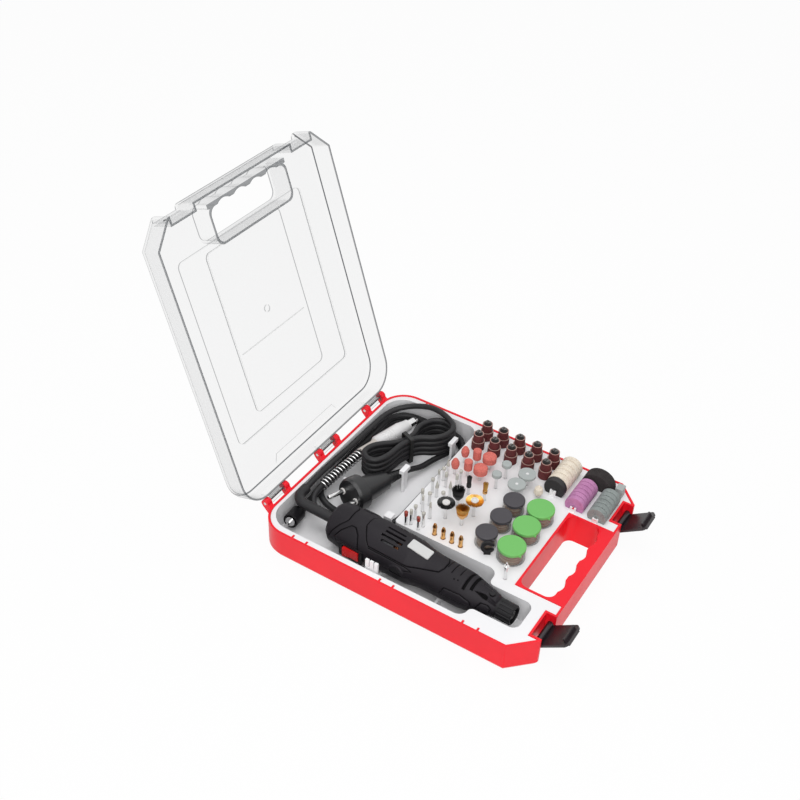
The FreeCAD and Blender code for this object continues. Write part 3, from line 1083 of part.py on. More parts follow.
def build_motor():
    """The motor's fixed and turning parts, in the tool's own frame."""
    core_end = CORE_END
    core_length = CORE_END - CORE_START
    bore = CORE_RADIUS + AIR_GAP
    stator = ring(CORE_START, core_end, STATOR_RADIUS, STATOR_RADIUS - 3.4)
    pole = block(CORE_START, core_end, -6.5, 6.5, 0.0, STATOR_RADIUS - 3.0)
    poles = pole.fuse(pole.mirror(Vector(0, 0, 0), Z_AXIS)).common(
        rod(Vector(CORE_START, 0, 0), X_AXIS, STATOR_RADIUS - 0.5, core_length))
    stator = join([stator, poles]).cut(rod(Vector(CORE_START - 1.0, 0, 0), X_AXIS, bore, core_length + 2.0))
    coils = []
    for side in (-1.0, 1.0):
        coil = block(CORE_START - COIL_OVERHANG, core_end + COIL_OVERHANG, -10.0, 10.0, 8.0, 15.0)
        coil = coil.cut(block(CORE_START - 0.3, core_end + 0.3, -6.8, 6.8, 0.0, 20.0))
        coil = coil.common(rod(Vector(0, 0, 0), X_AXIS, STATOR_RADIUS - 3.7, TOOL_LENGTH))
        coil = coil.cut(rod(Vector(0, 0, 0), X_AXIS, bore + 0.3, TOOL_LENGTH))
        if side < 0:
            coil = coil.mirror(Vector(0, 0, 0), Z_AXIS)
        coils.append(coil)
    shaft = rod(Vector(REAR_BEARING_START, 0, 0), X_AXIS, SHAFT_RADIUS, SHAFT_END - REAR_BEARING_START)
    core = ring(CORE_START, core_end, CORE_RADIUS, SHAFT_RADIUS)
    windings = ring(CORE_START - WINDING_OVERHANG, CORE_START, CORE_RADIUS - 1.6, SHAFT_RADIUS).fuse(
        ring(core_end, core_end + WINDING_OVERHANG, CORE_RADIUS - 1.6, SHAFT_RADIUS))
    for i in range(ARMATURE_SLOTS):
        slot = block(CORE_START, core_end, -1.1, 1.1, CORE_RADIUS - 4.2, CORE_RADIUS - 1.6)
        mouth = block(CORE_START - 0.1, core_end + 0.1, -0.7, 0.7, CORE_RADIUS - 2.0, CORE_RADIUS + 1.0)
        slot.rotate(Vector(0, 0, 0), X_AXIS, 360.0 / ARMATURE_SLOTS * i)
        mouth.rotate(Vector(0, 0, 0), X_AXIS, 360.0 / ARMATURE_SLOTS * i)
        core = core.cut(slot).cut(mouth)
        windings = windings.fuse(slot.cut(mouth))
    commutator = ring(COMMUTATOR_START, COMMUTATOR_END, COMMUTATOR_RADIUS, SHAFT_RADIUS)
    for i in range(COMMUTATOR_BARS):
        gap = block(COMMUTATOR_START - 1.0, COMMUTATOR_END + 1.0, -0.2, 0.2,
                    COMMUTATOR_RADIUS - 1.0, COMMUTATOR_RADIUS + 1.0)
        gap.rotate(Vector(0, 0, 0), X_AXIS, 360.0 / COMMUTATOR_BARS * (i + 0.5))
        commutator = commutator.cut(gap)
    fan_end = FAN_START + FAN_WIDTH
    fan = ring(FAN_START, fan_end, 5.0, SHAFT_RADIUS)
    for i in range(FAN_BLADES):
        blade = block(FAN_START + 1.0, fan_end, -0.6, 0.6, 4.5, FAN_RADIUS)
        blade.rotate(Vector(0, 0, 0), X_AXIS, 360.0 / FAN_BLADES * i)
        fan = fan.fuse(blade)
    fan = fan.fuse(ring(fan_end - 1.0, fan_end, FAN_RADIUS, SHAFT_RADIUS))
    coupling = ring(COUPLER_START, COUPLER_END, COUPLER_RADIUS, SHAFT_RADIUS)
    coupling = coupling.cut(rod(Vector(SPINDLE_START, 0, 0), X_AXIS, SPINDLE_RADIUS, 20.0))
    spindle = rod(Vector(SPINDLE_START, 0, 0), X_AXIS, SPINDLE_RADIUS, SPINDLE_END - SPINDLE_START)
    collar = ring(LOCK_BUTTON_X - LOCK_COLLAR_HALF, LOCK_BUTTON_X + LOCK_COLLAR_HALF, LOCK_COLLAR_RADIUS,
                  SPINDLE_RADIUS - 0.1)
    spindle = spindle.fuse(collar)
    for i in range(4):
        hole = rod(Vector(LOCK_BUTTON_X, 0, 2.6), Z_AXIS, LOCK_PIN_RADIUS + 0.35, 6.0)
        hole.rotate(Vector(0, 0, 0), X_AXIS, 90.0 * i)
        spindle = spindle.cut(hole)
    nut_start = HOUSING_LENGTH + NOSE_NECK_LENGTH + COLLET_NUT_GAP
    nut = rod(Vector(nut_start, 0, 0), X_AXIS, COLLET_NUT_RADIUS, NUT_LENGTH)
    nut = nut.makeChamfer(1.4, [e for e in nut.Edges if e.BoundBox.XMin > nut_start + NUT_LENGTH - 1e-3
                                and e.BoundBox.YLength > 5.0])
    nut = nut.cut(rod(Vector(nut_start - 1.0, 0, 0), X_AXIS, SPINDLE_RADIUS, SPINDLE_END - nut_start + 1.0))
    nut = nut.cut(rod(Vector(nut_start, 0, 0), X_AXIS, COLLET_BORE, NUT_LENGTH + 1.0))
    for i in range(6):
        flat = block(nut_start + 1.0, nut_start + 5.0, -4.0, 4.0, COLLET_NUT_RADIUS - 0.5,
                     COLLET_NUT_RADIUS + 2.0)
        flat.rotate(Vector(0, 0, 0), X_AXIS, 60.0 * i)
        nut = nut.cut(flat)
    bearings = []
    for start, inner in ((REAR_BEARING_START, SHAFT_RADIUS), (MID_BEARING_START, SHAFT_RADIUS),
                         (FRONT_BEARING_A, SPINDLE_RADIUS), (FRONT_BEARING_B, SPINDLE_RADIUS)):
        bearing = ring(start, start + BEARING_WIDTH, BEARING_RADIUS, inner + RUNNING_GAP)
        middle = (BEARING_RADIUS + inner) / 2.0
        for x in (start - 0.1, start + BEARING_WIDTH - 0.6):
            bearing = bearing.cut(ring(x, x + 0.7, middle + 1.0, middle - 1.0))
        bearings.append(bearing)
    brushes = []
    holders = []
    springs = []
    caps = []
    for side in (-1.0, 1.0):
        direction = Y_AXIS * side
        low = min(side * BRUSH_START, side * BRUSH_END)
        high = max(side * BRUSH_START, side * BRUSH_END)
        brushes.append(block(BRUSH_AXIS_X - 2.0, BRUSH_AXIS_X + 2.0, low, high, -2.5, 2.5))
        holder = rod(Vector(BRUSH_AXIS_X, side * (BRUSH_START + 1.6), 0), direction, BRUSH_HOLDER_RADIUS,
                     BRUSH_CAP_START - BRUSH_START - 1.6)
        hollow = rod(Vector(BRUSH_AXIS_X, side * BRUSH_START, 0), direction, 3.5, 20.0)
        holders.append(holder.cut(hollow))
        spring_start = Vector(BRUSH_AXIS_X, side * (BRUSH_END + 0.25), 0)
        springs.append(coil_spring(spring_start, direction, BRUSH_SPRING_RADIUS, BRUSH_SPRING_WIRE,
                                   BRUSH_SPRING_TURNS, BRUSH_CAP_START - BRUSH_END - 0.5))
        start = Vector(BRUSH_AXIS_X, side * BRUSH_CAP_START, 0)
        cap = rod(start, direction, BRUSH_CAP_RADIUS, BRUSH_CAP_LENGTH)
        slot_y = side * (BRUSH_CAP_START + BRUSH_CAP_LENGTH)
        cap = cap.cut(block(BRUSH_AXIS_X - 10.0, BRUSH_AXIS_X + 10.0, min(slot_y, slot_y - side * 1.0),
                            max(slot_y, slot_y - side * 1.0), -0.8, 0.8))
        caps.append(cap)
    return {"stator_core": [stator], "field_coils": coils, "armature_shaft": [shaft], "armature_core": [core],
            "armature_windings": [windings.removeSplitter()], "commutator": [commutator],
            "cooling_fan": [fan.removeSplitter()],
            "drive_coupling": [coupling], "output_spindle": [spindle], "collet_nut": [nut], "bearings": bearings,
            "carbon_brushes": brushes, "brush_holders": holders, "brush_springs": springs, "brush_caps": caps}


def coil_spring(start, axis, radius, wire, turns, length):
    """An open coil spring along an axis from start."""
    pitch = (length - wire) / turns
    helix = Part.makeHelix(pitch, pitch * turns, radius)
    profile = Part.Wire(Part.makeCircle(wire / 2.0, Vector(radius, 0, 0), Vector(0, 1, 0)))
    coil = helix.makePipeShell([profile], True, True)
    coil.translate(Vector(0, 0, wire / 2.0))
    turn = Rotation(Vector(0, 0, 1), axis)
    return placed(coil, Placement(start, turn))


def build_tool_trim():
    sleeve = ring(HOUSING_LENGTH, TOOL_LENGTH, NOSE_RADIUS, NOSE_BORE_RADIUS)
    sleeve = sleeve.makeChamfer(0.8, [e for e in sleeve.Edges if e.BoundBox.XMin > TOOL_LENGTH - 1e-3
                                      and e.BoundBox.YLength > 2.0 * NOSE_RADIUS - 1.0])
    for i in range(NOSE_FLUTES):
        angle = 2.0 * math.pi * i / NOSE_FLUTES
        radius = NOSE_RADIUS + 0.35
        flute = Vector(HOUSING_LENGTH + 2.0, radius * math.cos(angle), radius * math.sin(angle))
        sleeve = sleeve.cut(rod(flute, X_AXIS, 1.1, TOOL_LENGTH))
    screws = []
    for x, y, head in HOUSING_SCREWS:
        screw = rod(Vector(x, y, -head), Z_AXIS, SCREW_RADIUS, SCREW_LENGTH)
        cap = rod(Vector(x, y, -head), Z_AXIS, SCREW_HEAD_RADIUS, SCREW_HEAD_HEIGHT)
        cross = block(x - 1.7, x + 1.7, y - 0.35, y + 0.35, -head - 1.0, -head + 1.0).fuse(
            block(x - 0.35, x + 0.35, y - 1.7, y + 1.7, -head - 1.0, -head + 1.0))
        screws.append(screw.fuse(cap).cut(cross))
    clamp = block(CLAMP_START, CLAMP_START + CLAMP_THICK, -CLAMP_HALF_WIDTH, CLAMP_HALF_WIDTH,
                  -CLAMP_HALF_HEIGHT, CLAMP_HALF_HEIGHT)
    clamp = clamp.cut(rod(Vector(0, 0, 0), X_AXIS, CORD_DIAMETER / 2.0, 30.0))
    button = rod(Vector(LOCK_BUTTON_X, 0, LOCK_BUTTON_LOW), Z_AXIS, LOCK_BUTTON_RADIUS, LOCK_BUTTON_HEIGHT)
    pin_low = LOCK_COLLAR_RADIUS + 0.4
    pin_length = LOCK_BUTTON_LOW - pin_low
    button = button.fuse(rod(Vector(LOCK_BUTTON_X, 0, pin_low), Z_AXIS, LOCK_PIN_RADIUS, pin_length))
    spring_low = LOCK_SEAT_LOW + 0.85
    spring = coil_spring(Vector(LOCK_BUTTON_X, 0, spring_low), Z_AXIS, 1.8, 0.35, 3,
                         LOCK_BUTTON_LOW - spring_low - 0.05)
    return {"nose_sleeve": [sleeve], "housing_screws": screws, "cord_clamp": [clamp], "lock_button": [button],
            "lock_spring": [spring]}


def bent_path(points, radii):
    """Straight runs joined by arcs of given radii."""
    edges = []
    here = points[0]
    for before, corner, after, radius in zip(points, points[1:], points[2:], radii):
        back = (before - corner).normalize()
        on = (after - corner).normalize()
        half = back.getAngle(on) / 2.0
        reach = radius / math.tan(half)
        first = corner + back * reach
        last = corner + on * reach
        middle = corner + (back + on).normalize() * (radius / math.sin(half) - radius)
        edges.append(Part.LineSegment(here, first).toShape())
        edges.append(Part.Arc(first, middle, last).toShape())
        here = last
    edges.append(Part.LineSegment(here, points[-1]).toShape())
    return Part.Wire(edges)


def build_boot():
    placement = tool_placement()
    start = placement.multVec(Vector(TOOL_WALL, 0, 0))
    corner = Vector(BOOT_CORNER[0], BOOT_CORNER[1], BOOT_CORNER[2])
    end = Vector(CORD_POINTS[0][0], CORD_POINTS[0][1], CORD_POINTS[0][2])
    path = bent_path([start, corner, end], [BOOT_BEND_RADIUS])
    boot = sweep(path, BOOT_RADIUS)
    flange = placed(rod(Vector(-1.6, 0, 0), X_AXIS, BOOT_RADIUS + 2.4, 1.6), placement)
    return boot.fuse(flange).removeSplitter()


def vectors(points):
    return [Vector(x, y, z) for x, y, z in points]


def hank_frame():
    near = Vector(HANK_NEAR[0], HANK_NEAR[1], 0)
    far = Vector(HANK_FAR[0], HANK_FAR[1], 0)
    along = (far - near).normalize()
    across = Vector(-along.y, along.x, 0)
    waist = near + along * HANK_WAIST_SHARE
    return near, far, waist, along, across


def hank_path():
    """The wound cord as a figure that runs around two ends and crosses a narrow waist, level by level."""
    near, far, waist, along, across = hank_frame()
    top = HANK_LOWEST + HANK_PITCH * HANK_LOOPS
    points = [far + along * HANK_FAR_RADIUS + Z_AXIS * top]
    headings = [across * -1.0]
    level = top
    for loop in range(HANK_LOOPS):
        lift = Z_AXIS * level
        points += [far - across * HANK_FAR_RADIUS + lift, waist - across * HANK_WAIST + lift,
                   near - across * HANK_NEAR_RADIUS + lift, near - along * HANK_NEAR_RADIUS + lift,
                   near + across * HANK_NEAR_RADIUS + lift]
        headings += [along * -1.0, along * -1.0, along * -1.0, across, along]
        points.append(waist + across * HANK_WAIST + Z_AXIS * (level - HANK_PITCH / 2.0))
        headings.append(along)
        level -= HANK_PITCH
        lift = Z_AXIS * level
        points += [far + across * HANK_FAR_RADIUS + lift, far + along * HANK_FAR_RADIUS + lift]
        headings += [along, across * -1.0]
    points.append(far - across * HANK_FAR_RADIUS + Z_AXIS * level)
    headings.append(along * -1.0)
    return biarc_path(points, headings)


def build_cords():
    """The cord between tool and hank, the hank, and the lead from the hank to the plug."""
    near, far, waist, along, across = hank_frame()
    top = HANK_LOWEST + HANK_PITCH * HANK_LOOPS
    join_point = far + along * HANK_FAR_RADIUS + Z_AXIS * top
    free_run = vectors(CORD_POINTS) + [join_point + across * HANK_LEAD, join_point]
    first_wire = tangent_path(free_run, "cord to hank", CORD_DIAMETER)
    first = sweep(first_wire, CORD_DIAMETER / 2.0)
    hank_wire = hank_path()
    print(f"hank: length {hank_wire.Length:.0f} mm")
    least_gap(hank_wire, CORD_DIAMETER, "hank")
    hank = sweep(hank_wire, CORD_DIAMETER / 2.0)
    exit_point = far - across * HANK_FAR_RADIUS + Z_AXIS * HANK_LOWEST
    plug_axis, relief_end = plug_frame()
    lead = [exit_point, exit_point - along * 16.0] + vectors(LEAD_POINTS) + [
        relief_end + plug_axis * -9.0, relief_end]
    second_wire = tangent_path(lead, "cord to plug", CORD_DIAMETER)
    second = sweep(second_wire, CORD_DIAMETER / 2.0)
    total = first_wire.Length + hank_wire.Length + second_wire.Length
    print(f"power cord in all: {total:.0f} mm")
    return [first, second], hank


def plug_frame():
    """The plug's axis toward its pins, and the point where the cord enters it."""
    centre = Vector(PLUG_CENTRE[0], PLUG_CENTRE[1], PLUG_CENTRE[2])
    relief_end = Vector(PLUG_RELIEF_END[0], PLUG_RELIEF_END[1], PLUG_RELIEF_END[2])
    return (centre - relief_end).normalize(), relief_end


def build_plug():
    axis, relief_end = plug_frame()
    across = Vector(-axis.y, axis.x, 0).normalize()
    placement = Placement(relief_end, Rotation(axis, across, axis.cross(across), "XYZ"))
    flange = PLUG_LENGTH - PLUG_FLANGE
    body = lathe(((0.0, PLUG_TAIL_RADIUS), (PLUG_RELIEF, PLUG_RELIEF_RADIUS),
                  (PLUG_RELIEF + 2.0, PLUG_RELIEF_RADIUS + 3.0), (flange - 16.0, PLUG_NECK_RADIUS - 2.0),
                  (flange - 1.0, PLUG_NECK_RADIUS), (flange, PLUG_RADIUS), (PLUG_LENGTH - 3.0, PLUG_RADIUS),
                  (PLUG_LENGTH, PLUG_RADIUS - 1.5)))
    for i in range(PLUG_RIBS):
        x = PLUG_RIB_START + i * PLUG_RIB_PITCH
        depth = PLUG_TAIL_RADIUS - PLUG_RIB_DEPTH + x * PLUG_RELIEF_TAPER
        body = body.cut(ring(x, x + PLUG_RIB_PITCH / 2.0, PLUG_RADIUS, depth))
    pins = []
    for side in (-1.0, 1.0):
        start = Vector(PLUG_LENGTH - PLUG_PIN_SEAT, side * PLUG_PIN_SPACING / 2.0, 0)
        pin = rod(start, X_AXIS, PLUG_PIN_RADIUS, PLUG_PIN_LENGTH + PLUG_PIN_SEAT)
        pin_tip = PLUG_LENGTH + PLUG_PIN_LENGTH
        pin = pin.makeFillet(PLUG_PIN_ROUND, [e for e in pin.Edges if e.BoundBox.XMin > pin_tip - 1e-3])
        pins.append(pin)
        body = body.cut(rod(start, X_AXIS, PLUG_PIN_RADIUS, 20.0))
    return placed(body, placement), [placed(pin, placement) for pin in pins]


def build_tie():
    near, far, waist, along, across = hank_frame()
    top = HANK_LOWEST + HANK_PITCH * HANK_LOOPS
    low = HANK_LOWEST + HANK_PITCH / 2.0
    reach = CORD_DIAMETER / 2.0 + 0.35
    outer = block(-TIE_WIDTH / 2.0, TIE_WIDTH / 2.0, -HANK_WAIST - reach - TIE_THICKNESS,
                  HANK_WAIST + reach + TIE_THICKNESS, low - reach - TIE_THICKNESS, top + reach + TIE_THICKNESS)
    outer = outer.makeFillet(2.0, [e for e in outer.Edges if abs(e.BoundBox.XLength - TIE_WIDTH) < 1e-3])
    inner = block(-TIE_WIDTH, TIE_WIDTH, -HANK_WAIST - reach, HANK_WAIST + reach, low - reach, top + reach)
    turn = math.degrees(math.atan2(along.y, along.x))
    return placed(outer.cut(inner), Placement(waist, Rotation(Vector(0, 0, 1), turn)))


def handpiece_frame():
    start = Vector(NECK_START[0], NECK_START[1], NECK_START[2])
    tip = Vector(HANDPIECE_TIP[0], HANDPIECE_TIP[1], HANDPIECE_TIP[2])
    return start, (tip - start).normalize()


def build_flex():
    start, axis = handpiece_frame()
    placement = Placement(start, Rotation(Vector(1, 0, 0), axis))
    upper = [(x, y, HOSE_UPPER) for x, y in HOSE_LOOP]
    lower = [(x, y, HOSE_LOWER) for x, y in HOSE_LOOP]
    hose_points = vectors(HOSE_START + HOSE_TURN + tuple(upper) + HOSE_DROP + tuple(lower) + HOSE_END)
    wire = tangent_path(hose_points, "hose", HOSE_DIAMETER)
    hose = sweep(wire, HOSE_DIAMETER / 2.0)
    least_gap(wire, HOSE_DIAMETER, "hose", 700)
    spring_start = hose_points[0]
    spring_axis = (Vector(SPRING_END[0], SPRING_END[1], SPRING_END[2]) - spring_start)
    spring_length = spring_axis.Length
    spring_axis.normalize()
    spring_start = spring_start + spring_axis * 0.6
    spring = coil_spring(spring_start, spring_axis, SPRING_RADIUS, SPRING_WIRE, SPRING_TURNS, spring_length)
    neck = lathe(((-2.0, NECK_RADIUS - 0.6), (0.6, NECK_RADIUS), (NECK_LENGTH - 3.0, NECK_RADIUS),
                  (NECK_LENGTH, NECK_RADIUS + 1.2)))
    neck = placed(neck, placement)
    behind = Part.makeBox(20.0, 40.0, 40.0, Vector(0, -20, -20))
    neck = neck.cut(placed(behind, Placement(hose_points[0], Rotation(Vector(1, 0, 0), spring_axis))))
    sleeve_end = NECK_LENGTH + HANDPIECE_LENGTH
    sleeve = lathe(((NECK_LENGTH, 6.4), (NECK_LENGTH + 2.0, HANDPIECE_RADIUS),
                    (sleeve_end - 12.0, HANDPIECE_RADIUS),
                    (sleeve_end - 3.0, HANDPIECE_RADIUS - 1.6), (sleeve_end, HANDPIECE_RADIUS - 1.8)))
    sleeve = sleeve.cut(rod(Vector(NECK_LENGTH + 8.0, 0, 0), X_AXIS, HANDPIECE_BORE, HANDPIECE_LENGTH))
    for i in range(HANDPIECE_GROOVES):
        x = NECK_LENGTH + 9.0 + i * 3.0
        sleeve = sleeve.cut(ring(x, x + 1.2, HANDPIECE_RADIUS + 1.0, HANDPIECE_RADIUS - 0.5))
    chuck_start = sleeve_end + 0.5
    chuck = lathe(((NECK_LENGTH + 12.0, CHUCK_STEM_RADIUS), (chuck_start, CHUCK_STEM_RADIUS),
                   (chuck_start, CHUCK_RADIUS), (chuck_start + CHUCK_LENGTH - 4.0, CHUCK_RADIUS),
                   (chuck_start + CHUCK_LENGTH, CHUCK_RADIUS - 1.8)))
    chuck = chuck.cut(rod(Vector(chuck_start + CHUCK_LENGTH - 8.0, 0, 0), X_AXIS, COLLET_BORE, 10.0))
    bearing_bore = CHUCK_STEM_RADIUS + RUNNING_GAP
    handpiece_bearings = [ring(NECK_LENGTH + 16.0, NECK_LENGTH + 20.0, HANDPIECE_BORE, bearing_bore),
                          ring(sleeve_end - 10.0, sleeve_end - 6.0, HANDPIECE_BORE, bearing_bore)]
    hose_end = hose_points[-1]
    end_axis = (hose_points[-1] - hose_points[-2]).normalize()
    end_placement = Placement(hose_end, Rotation(Vector(1, 0, 0), end_axis))
    hose_radius = HOSE_DIAMETER / 2.0
    coupling = lathe(((0.0, hose_radius + 1.2), (7.0, hose_radius + 1.8), (10.0, COUPLING_RADIUS),
                      (COUPLING_LENGTH, COUPLING_RADIUS)))
    coupling = coupling.cut(rod(Vector(8.0, 0, 0), X_AXIS, DRIVE_TIP_RADIUS + RUNNING_GAP, COUPLING_LENGTH))
    coupling = coupling.cut(rod(Vector(COUPLING_LENGTH - 8.0, 0, 0), X_AXIS, COUPLING_RADIUS - 1.6, 10.0))
    coupling = coupling.cut(rod(Vector(COUPLING_LENGTH - 13.0, 0, 2.0), Z_AXIS, 1.6, 10.0))
    tip = rod(Vector(9.0, 0, 0), X_AXIS, DRIVE_TIP_RADIUS, COUPLING_LENGTH + DRIVE_TIP_REACH - 9.0)
    collar = rod(Vector(COUPLING_LENGTH - 6.0, 0, 0), X_AXIS, COUPLING_RADIUS - 2.6, 7.0)
    tip = tip.fuse(collar)
    return {"flex_hose": [hose], "flex_spring": [spring], "handpiece_neck": [neck],
            "handpiece_sleeve": [placed(sleeve, placement)],
            "handpiece_bearings": [placed(b, placement) for b in handpiece_bearings],
            "handpiece_chuck": [placed(chuck, placement)],
            "flex_coupling": [placed(coupling, end_placement)], "drive_tip": [placed(tip, end_placement)]}


def upright(x, y, profile):
    """A solid of revolution standing at x, y from (z, radius) points."""
    solid = lathe(profile)
    return placed(solid, Placement(Vector(x, y, 0), Rotation(Vector(1, 0, 0), Vector(0, 0, 1))))


def shank(x, y, top, radius=SHANK_RADIUS):
    return rod(Vector(x, y, CASE_WALL), Z_AXIS, radius, top - CASE_WALL)


def build_accessories():
    deck = TRAY_TOP
    drums = []
    sleeves = []
    for column in DRUM_COLUMNS:
        for row in DRUM_ROWS:
            x, y = deck_place((column, row))
            wide_low = deck + DRUM_ABOVE_DECK
            wide_high = wide_low + WIDE_BAND
            narrow_high = wide_high + NARROW_BAND
            drum = upright(x, y, ((CASE_WALL, SHANK_RADIUS), (wide_low, SHANK_RADIUS),
                                  (wide_low, WIDE_SLEEVE_RADIUS - SLEEVE_WALL),
                                  (wide_high, WIDE_SLEEVE_RADIUS - SLEEVE_WALL),
                                  (wide_high, NARROW_SLEEVE_RADIUS - SLEEVE_WALL),
                                  (narrow_high, NARROW_SLEEVE_RADIUS - SLEEVE_WALL), (narrow_high, 3.6),
                                  (narrow_high + 1.0, 3.6), (narrow_high + 1.0, 3.0),
                                  (narrow_high + DRUM_CAP_HEIGHT, 2.6)))
            slot_low = narrow_high + DRUM_CAP_HEIGHT - 1.0
            slot = block(x - 4.0, x + 4.0, y - 0.4, y + 0.4, slot_low, slot_low + 2.0)
            drums.append(drum.cut(slot))
            sleeves.append(tube(Vector(x, y, wide_low), Z_AXIS, WIDE_SLEEVE_RADIUS,
                                WIDE_SLEEVE_RADIUS - SLEEVE_WALL, WIDE_BAND))
            sleeves.append(tube(Vector(x, y, wide_high), Z_AXIS, NARROW_SLEEVE_RADIUS,
                                NARROW_SLEEVE_RADIUS - SLEEVE_WALL, NARROW_BAND))
    shanks = []
    stones = []

    def mounted(spots, profile, bucket, stem_top):
        for px, py in [deck_place(spot) for spot in spots]:
            head = upright(px, py, [(deck + z, radius) for z, radius in profile])
            base = deck + profile[0][0]
            shanks.append(shank(px, py, base + stem_top))
            bucket.append(head.cut(shank(px, py, base + stem_top)))

    mounted(BULLET_STONES, ((8.0, 3.2), (12.0, 4.2), (15.0, 4.0), (18.5, 2.4), (20.4, 0.6)), stones, 4.0)
    mounted(CYLINDER_STONES, ((8.4, 4.2), (18.6, 4.2), (19.2, 3.6)), stones, 4.0)
    mounted(DISC_STONES, ((9.0, 5.6), (10.0, 7.0), (16.0, 7.0), (17.0, 6.2)), stones, 4.0)
    mounted(GREY_STONES, ((14.0, 3.0), (15.6, 4.8), (19.0, 4.8), (19.6, 4.2)), stones, 3.0)
    mounted(GREY_DISCS, ((12.6, GREY_DISC_RADIUS), (15.2, GREY_DISC_RADIUS)), stones, 2.6)
    brushes = []
    mounted(PENCIL_BRUSHES, ((9.0, 2.4), (13.0, 2.4), (13.0, 2.0), (22.0, 2.6)), brushes, 4.0)
    mounted(CUP_BRUSHES, ((9.0, 2.4), (12.0, 3.6), (15.0, 5.0), (22.0, 6.8), (22.0, 3.8), (14.0, 2.6)),
            brushes, 3.0)
    mounted(WHEEL_BRUSHES, ((18.6, 8.7), (20.8, 8.7)), brushes, 2.2)
    bits = []
    mounted(RED_BITS, ((11.0, 1.8), (15.6, 2.0), (17.0, 0.8)), bits, 3.0)
    burrs = []
    for i, spot in enumerate(DIAMOND_BURRS):
        mounted((spot,), BURR_SHAPES[i % len(BURR_SHAPES)], burrs, 1.6)
    collets = []
    for x, y in [deck_place(spot) for spot in COLLETS]:
        collet = upright(x, y, ((deck - 4.0, COLLET_RADIUS - 0.3), (deck + 7.0, COLLET_RADIUS - 0.3),
                                (deck + 9.5, COLLET_RADIUS), (deck + 13.0, COLLET_RADIUS - 0.9)))
        collet = collet.cut(rod(Vector(x, y, 0), Z_AXIS, LOOSE_COLLET_BORE, 2.0 * CASE_HEIGHT))
        for turn in (0.0, 90.0):
            slit = block(-5.0, 5.0, -0.25, 0.25, deck + 3.0, deck + 16.0)
            slit.rotate(Vector(0, 0, 0), Z_AXIS, turn)
            slit.translate(Vector(x, y, 0))
            collet = collet.cut(slit)
        collets.append(collet)
    x, y = deck_place(SCREW_MANDREL)
    shanks.append(upright(x, y, ((CASE_WALL, SHANK_RADIUS), (deck + 15.0, SHANK_RADIUS), (deck + 15.0, 2.6),
                                 (deck + 16.0, 2.6), (deck + 16.0, 1.0), (deck + 20.0, 0.8))))
    x, y = deck_place(FELT_BOB)
    felt = [upright(x, y, ((deck + 3.0, 3.0), (deck + 6.0, 4.6), (deck + 11.0, 3.8), (deck + 14.0, 1.0))).cut(
        shank(x, y, deck + 7.0))]
    shanks.append(shank(x, y, deck + 7.0))
    return drums, sleeves, shanks, stones, brushes, bits, burrs, collets, felt


def wheel_row(row, count, face_round):
    """Thin wheels threaded side by side on a lengthwise arbor."""
    x0, x1, y, z, radius = wheel_extent(row)
    pitch = (x1 - x0) / count
    wheels = []
    for i in range(count):
        start = x0 + i * pitch
        width = pitch - WHEEL_SPACE
        shape = rod(Vector(start, y, z), X_AXIS, radius, width)
        if face_round:
            shape = shape.makeFillet(face_round, [e for e in shape.Edges if e.BoundBox.YLength > radius])
        wheels.append(shape.cut(rod(Vector(start - 1.0, y, z), X_AXIS, SHANK_RADIUS, width + 2.0)))
    arbor = rod(Vector(x0 - ARBOR_END, y, z), X_AXIS, SHANK_RADIUS, x1 - x0 + 2.0 * ARBOR_END)
    return wheels, arbor


def pot_lid(x, y, radius):
    """A lid with a plug inside the pot and a pointed tab."""
    top = POT_FLOOR + POT_HEIGHT
    lid = rod(Vector(x, y, top), Z_AXIS, radius + POT_LID_OVERHANG, POT_LID_HEIGHT)
    lid_top = top + POT_LID_HEIGHT
    lid = lid.makeFillet(POT_LID_ROUND, [e for e in lid.Edges if e.BoundBox.ZMin > lid_top - 1e-3])
    lid = lid.fuse(rod(Vector(x, y, top - POT_PLUG), Z_AXIS, radius - POT_WALL, POT_PLUG))
    root = y + radius - 1.5
    corners = [Vector(x - POT_TAB, root, top), Vector(x + POT_TAB, root, top),
               Vector(x, y + radius + POT_TAB, top), Vector(x - POT_TAB, root, top)]
    tab = Part.Face(Part.makePolygon(corners)).extrude(Z_AXIS * POT_TAB_THICK)
    tab.rotate(Vector(x, y, 0), Z_AXIS, POT_TAB_TURN)
    return lid.fuse(tab).removeSplitter()


def build_pots():
    pots = []
    lids = []
    packs = []
    for spots, radius in ((SMALL_POTS, SMALL_POT_RADIUS), (LARGE_POTS, LARGE_POT_RADIUS)):
        for x, y in [deck_place(spot) for spot in spots]:
            base = Vector(x, y, POT_FLOOR)
            inside = base + Z_AXIS * POT_WALL
            pots.append(rod(base, Z_AXIS, radius, POT_HEIGHT).cut(
                rod(inside, Z_AXIS, radius - POT_WALL, POT_HEIGHT)))
            packs.append(tube(inside, Z_AXIS, radius - POT_WALL - PACK_GAP, SHANK_RADIUS,
                              POT_HEIGHT - POT_WALL - POT_PLUG - PACK_GAP))
            lids.append(pot_lid(x, y, radius))
    return pots, lids, packs


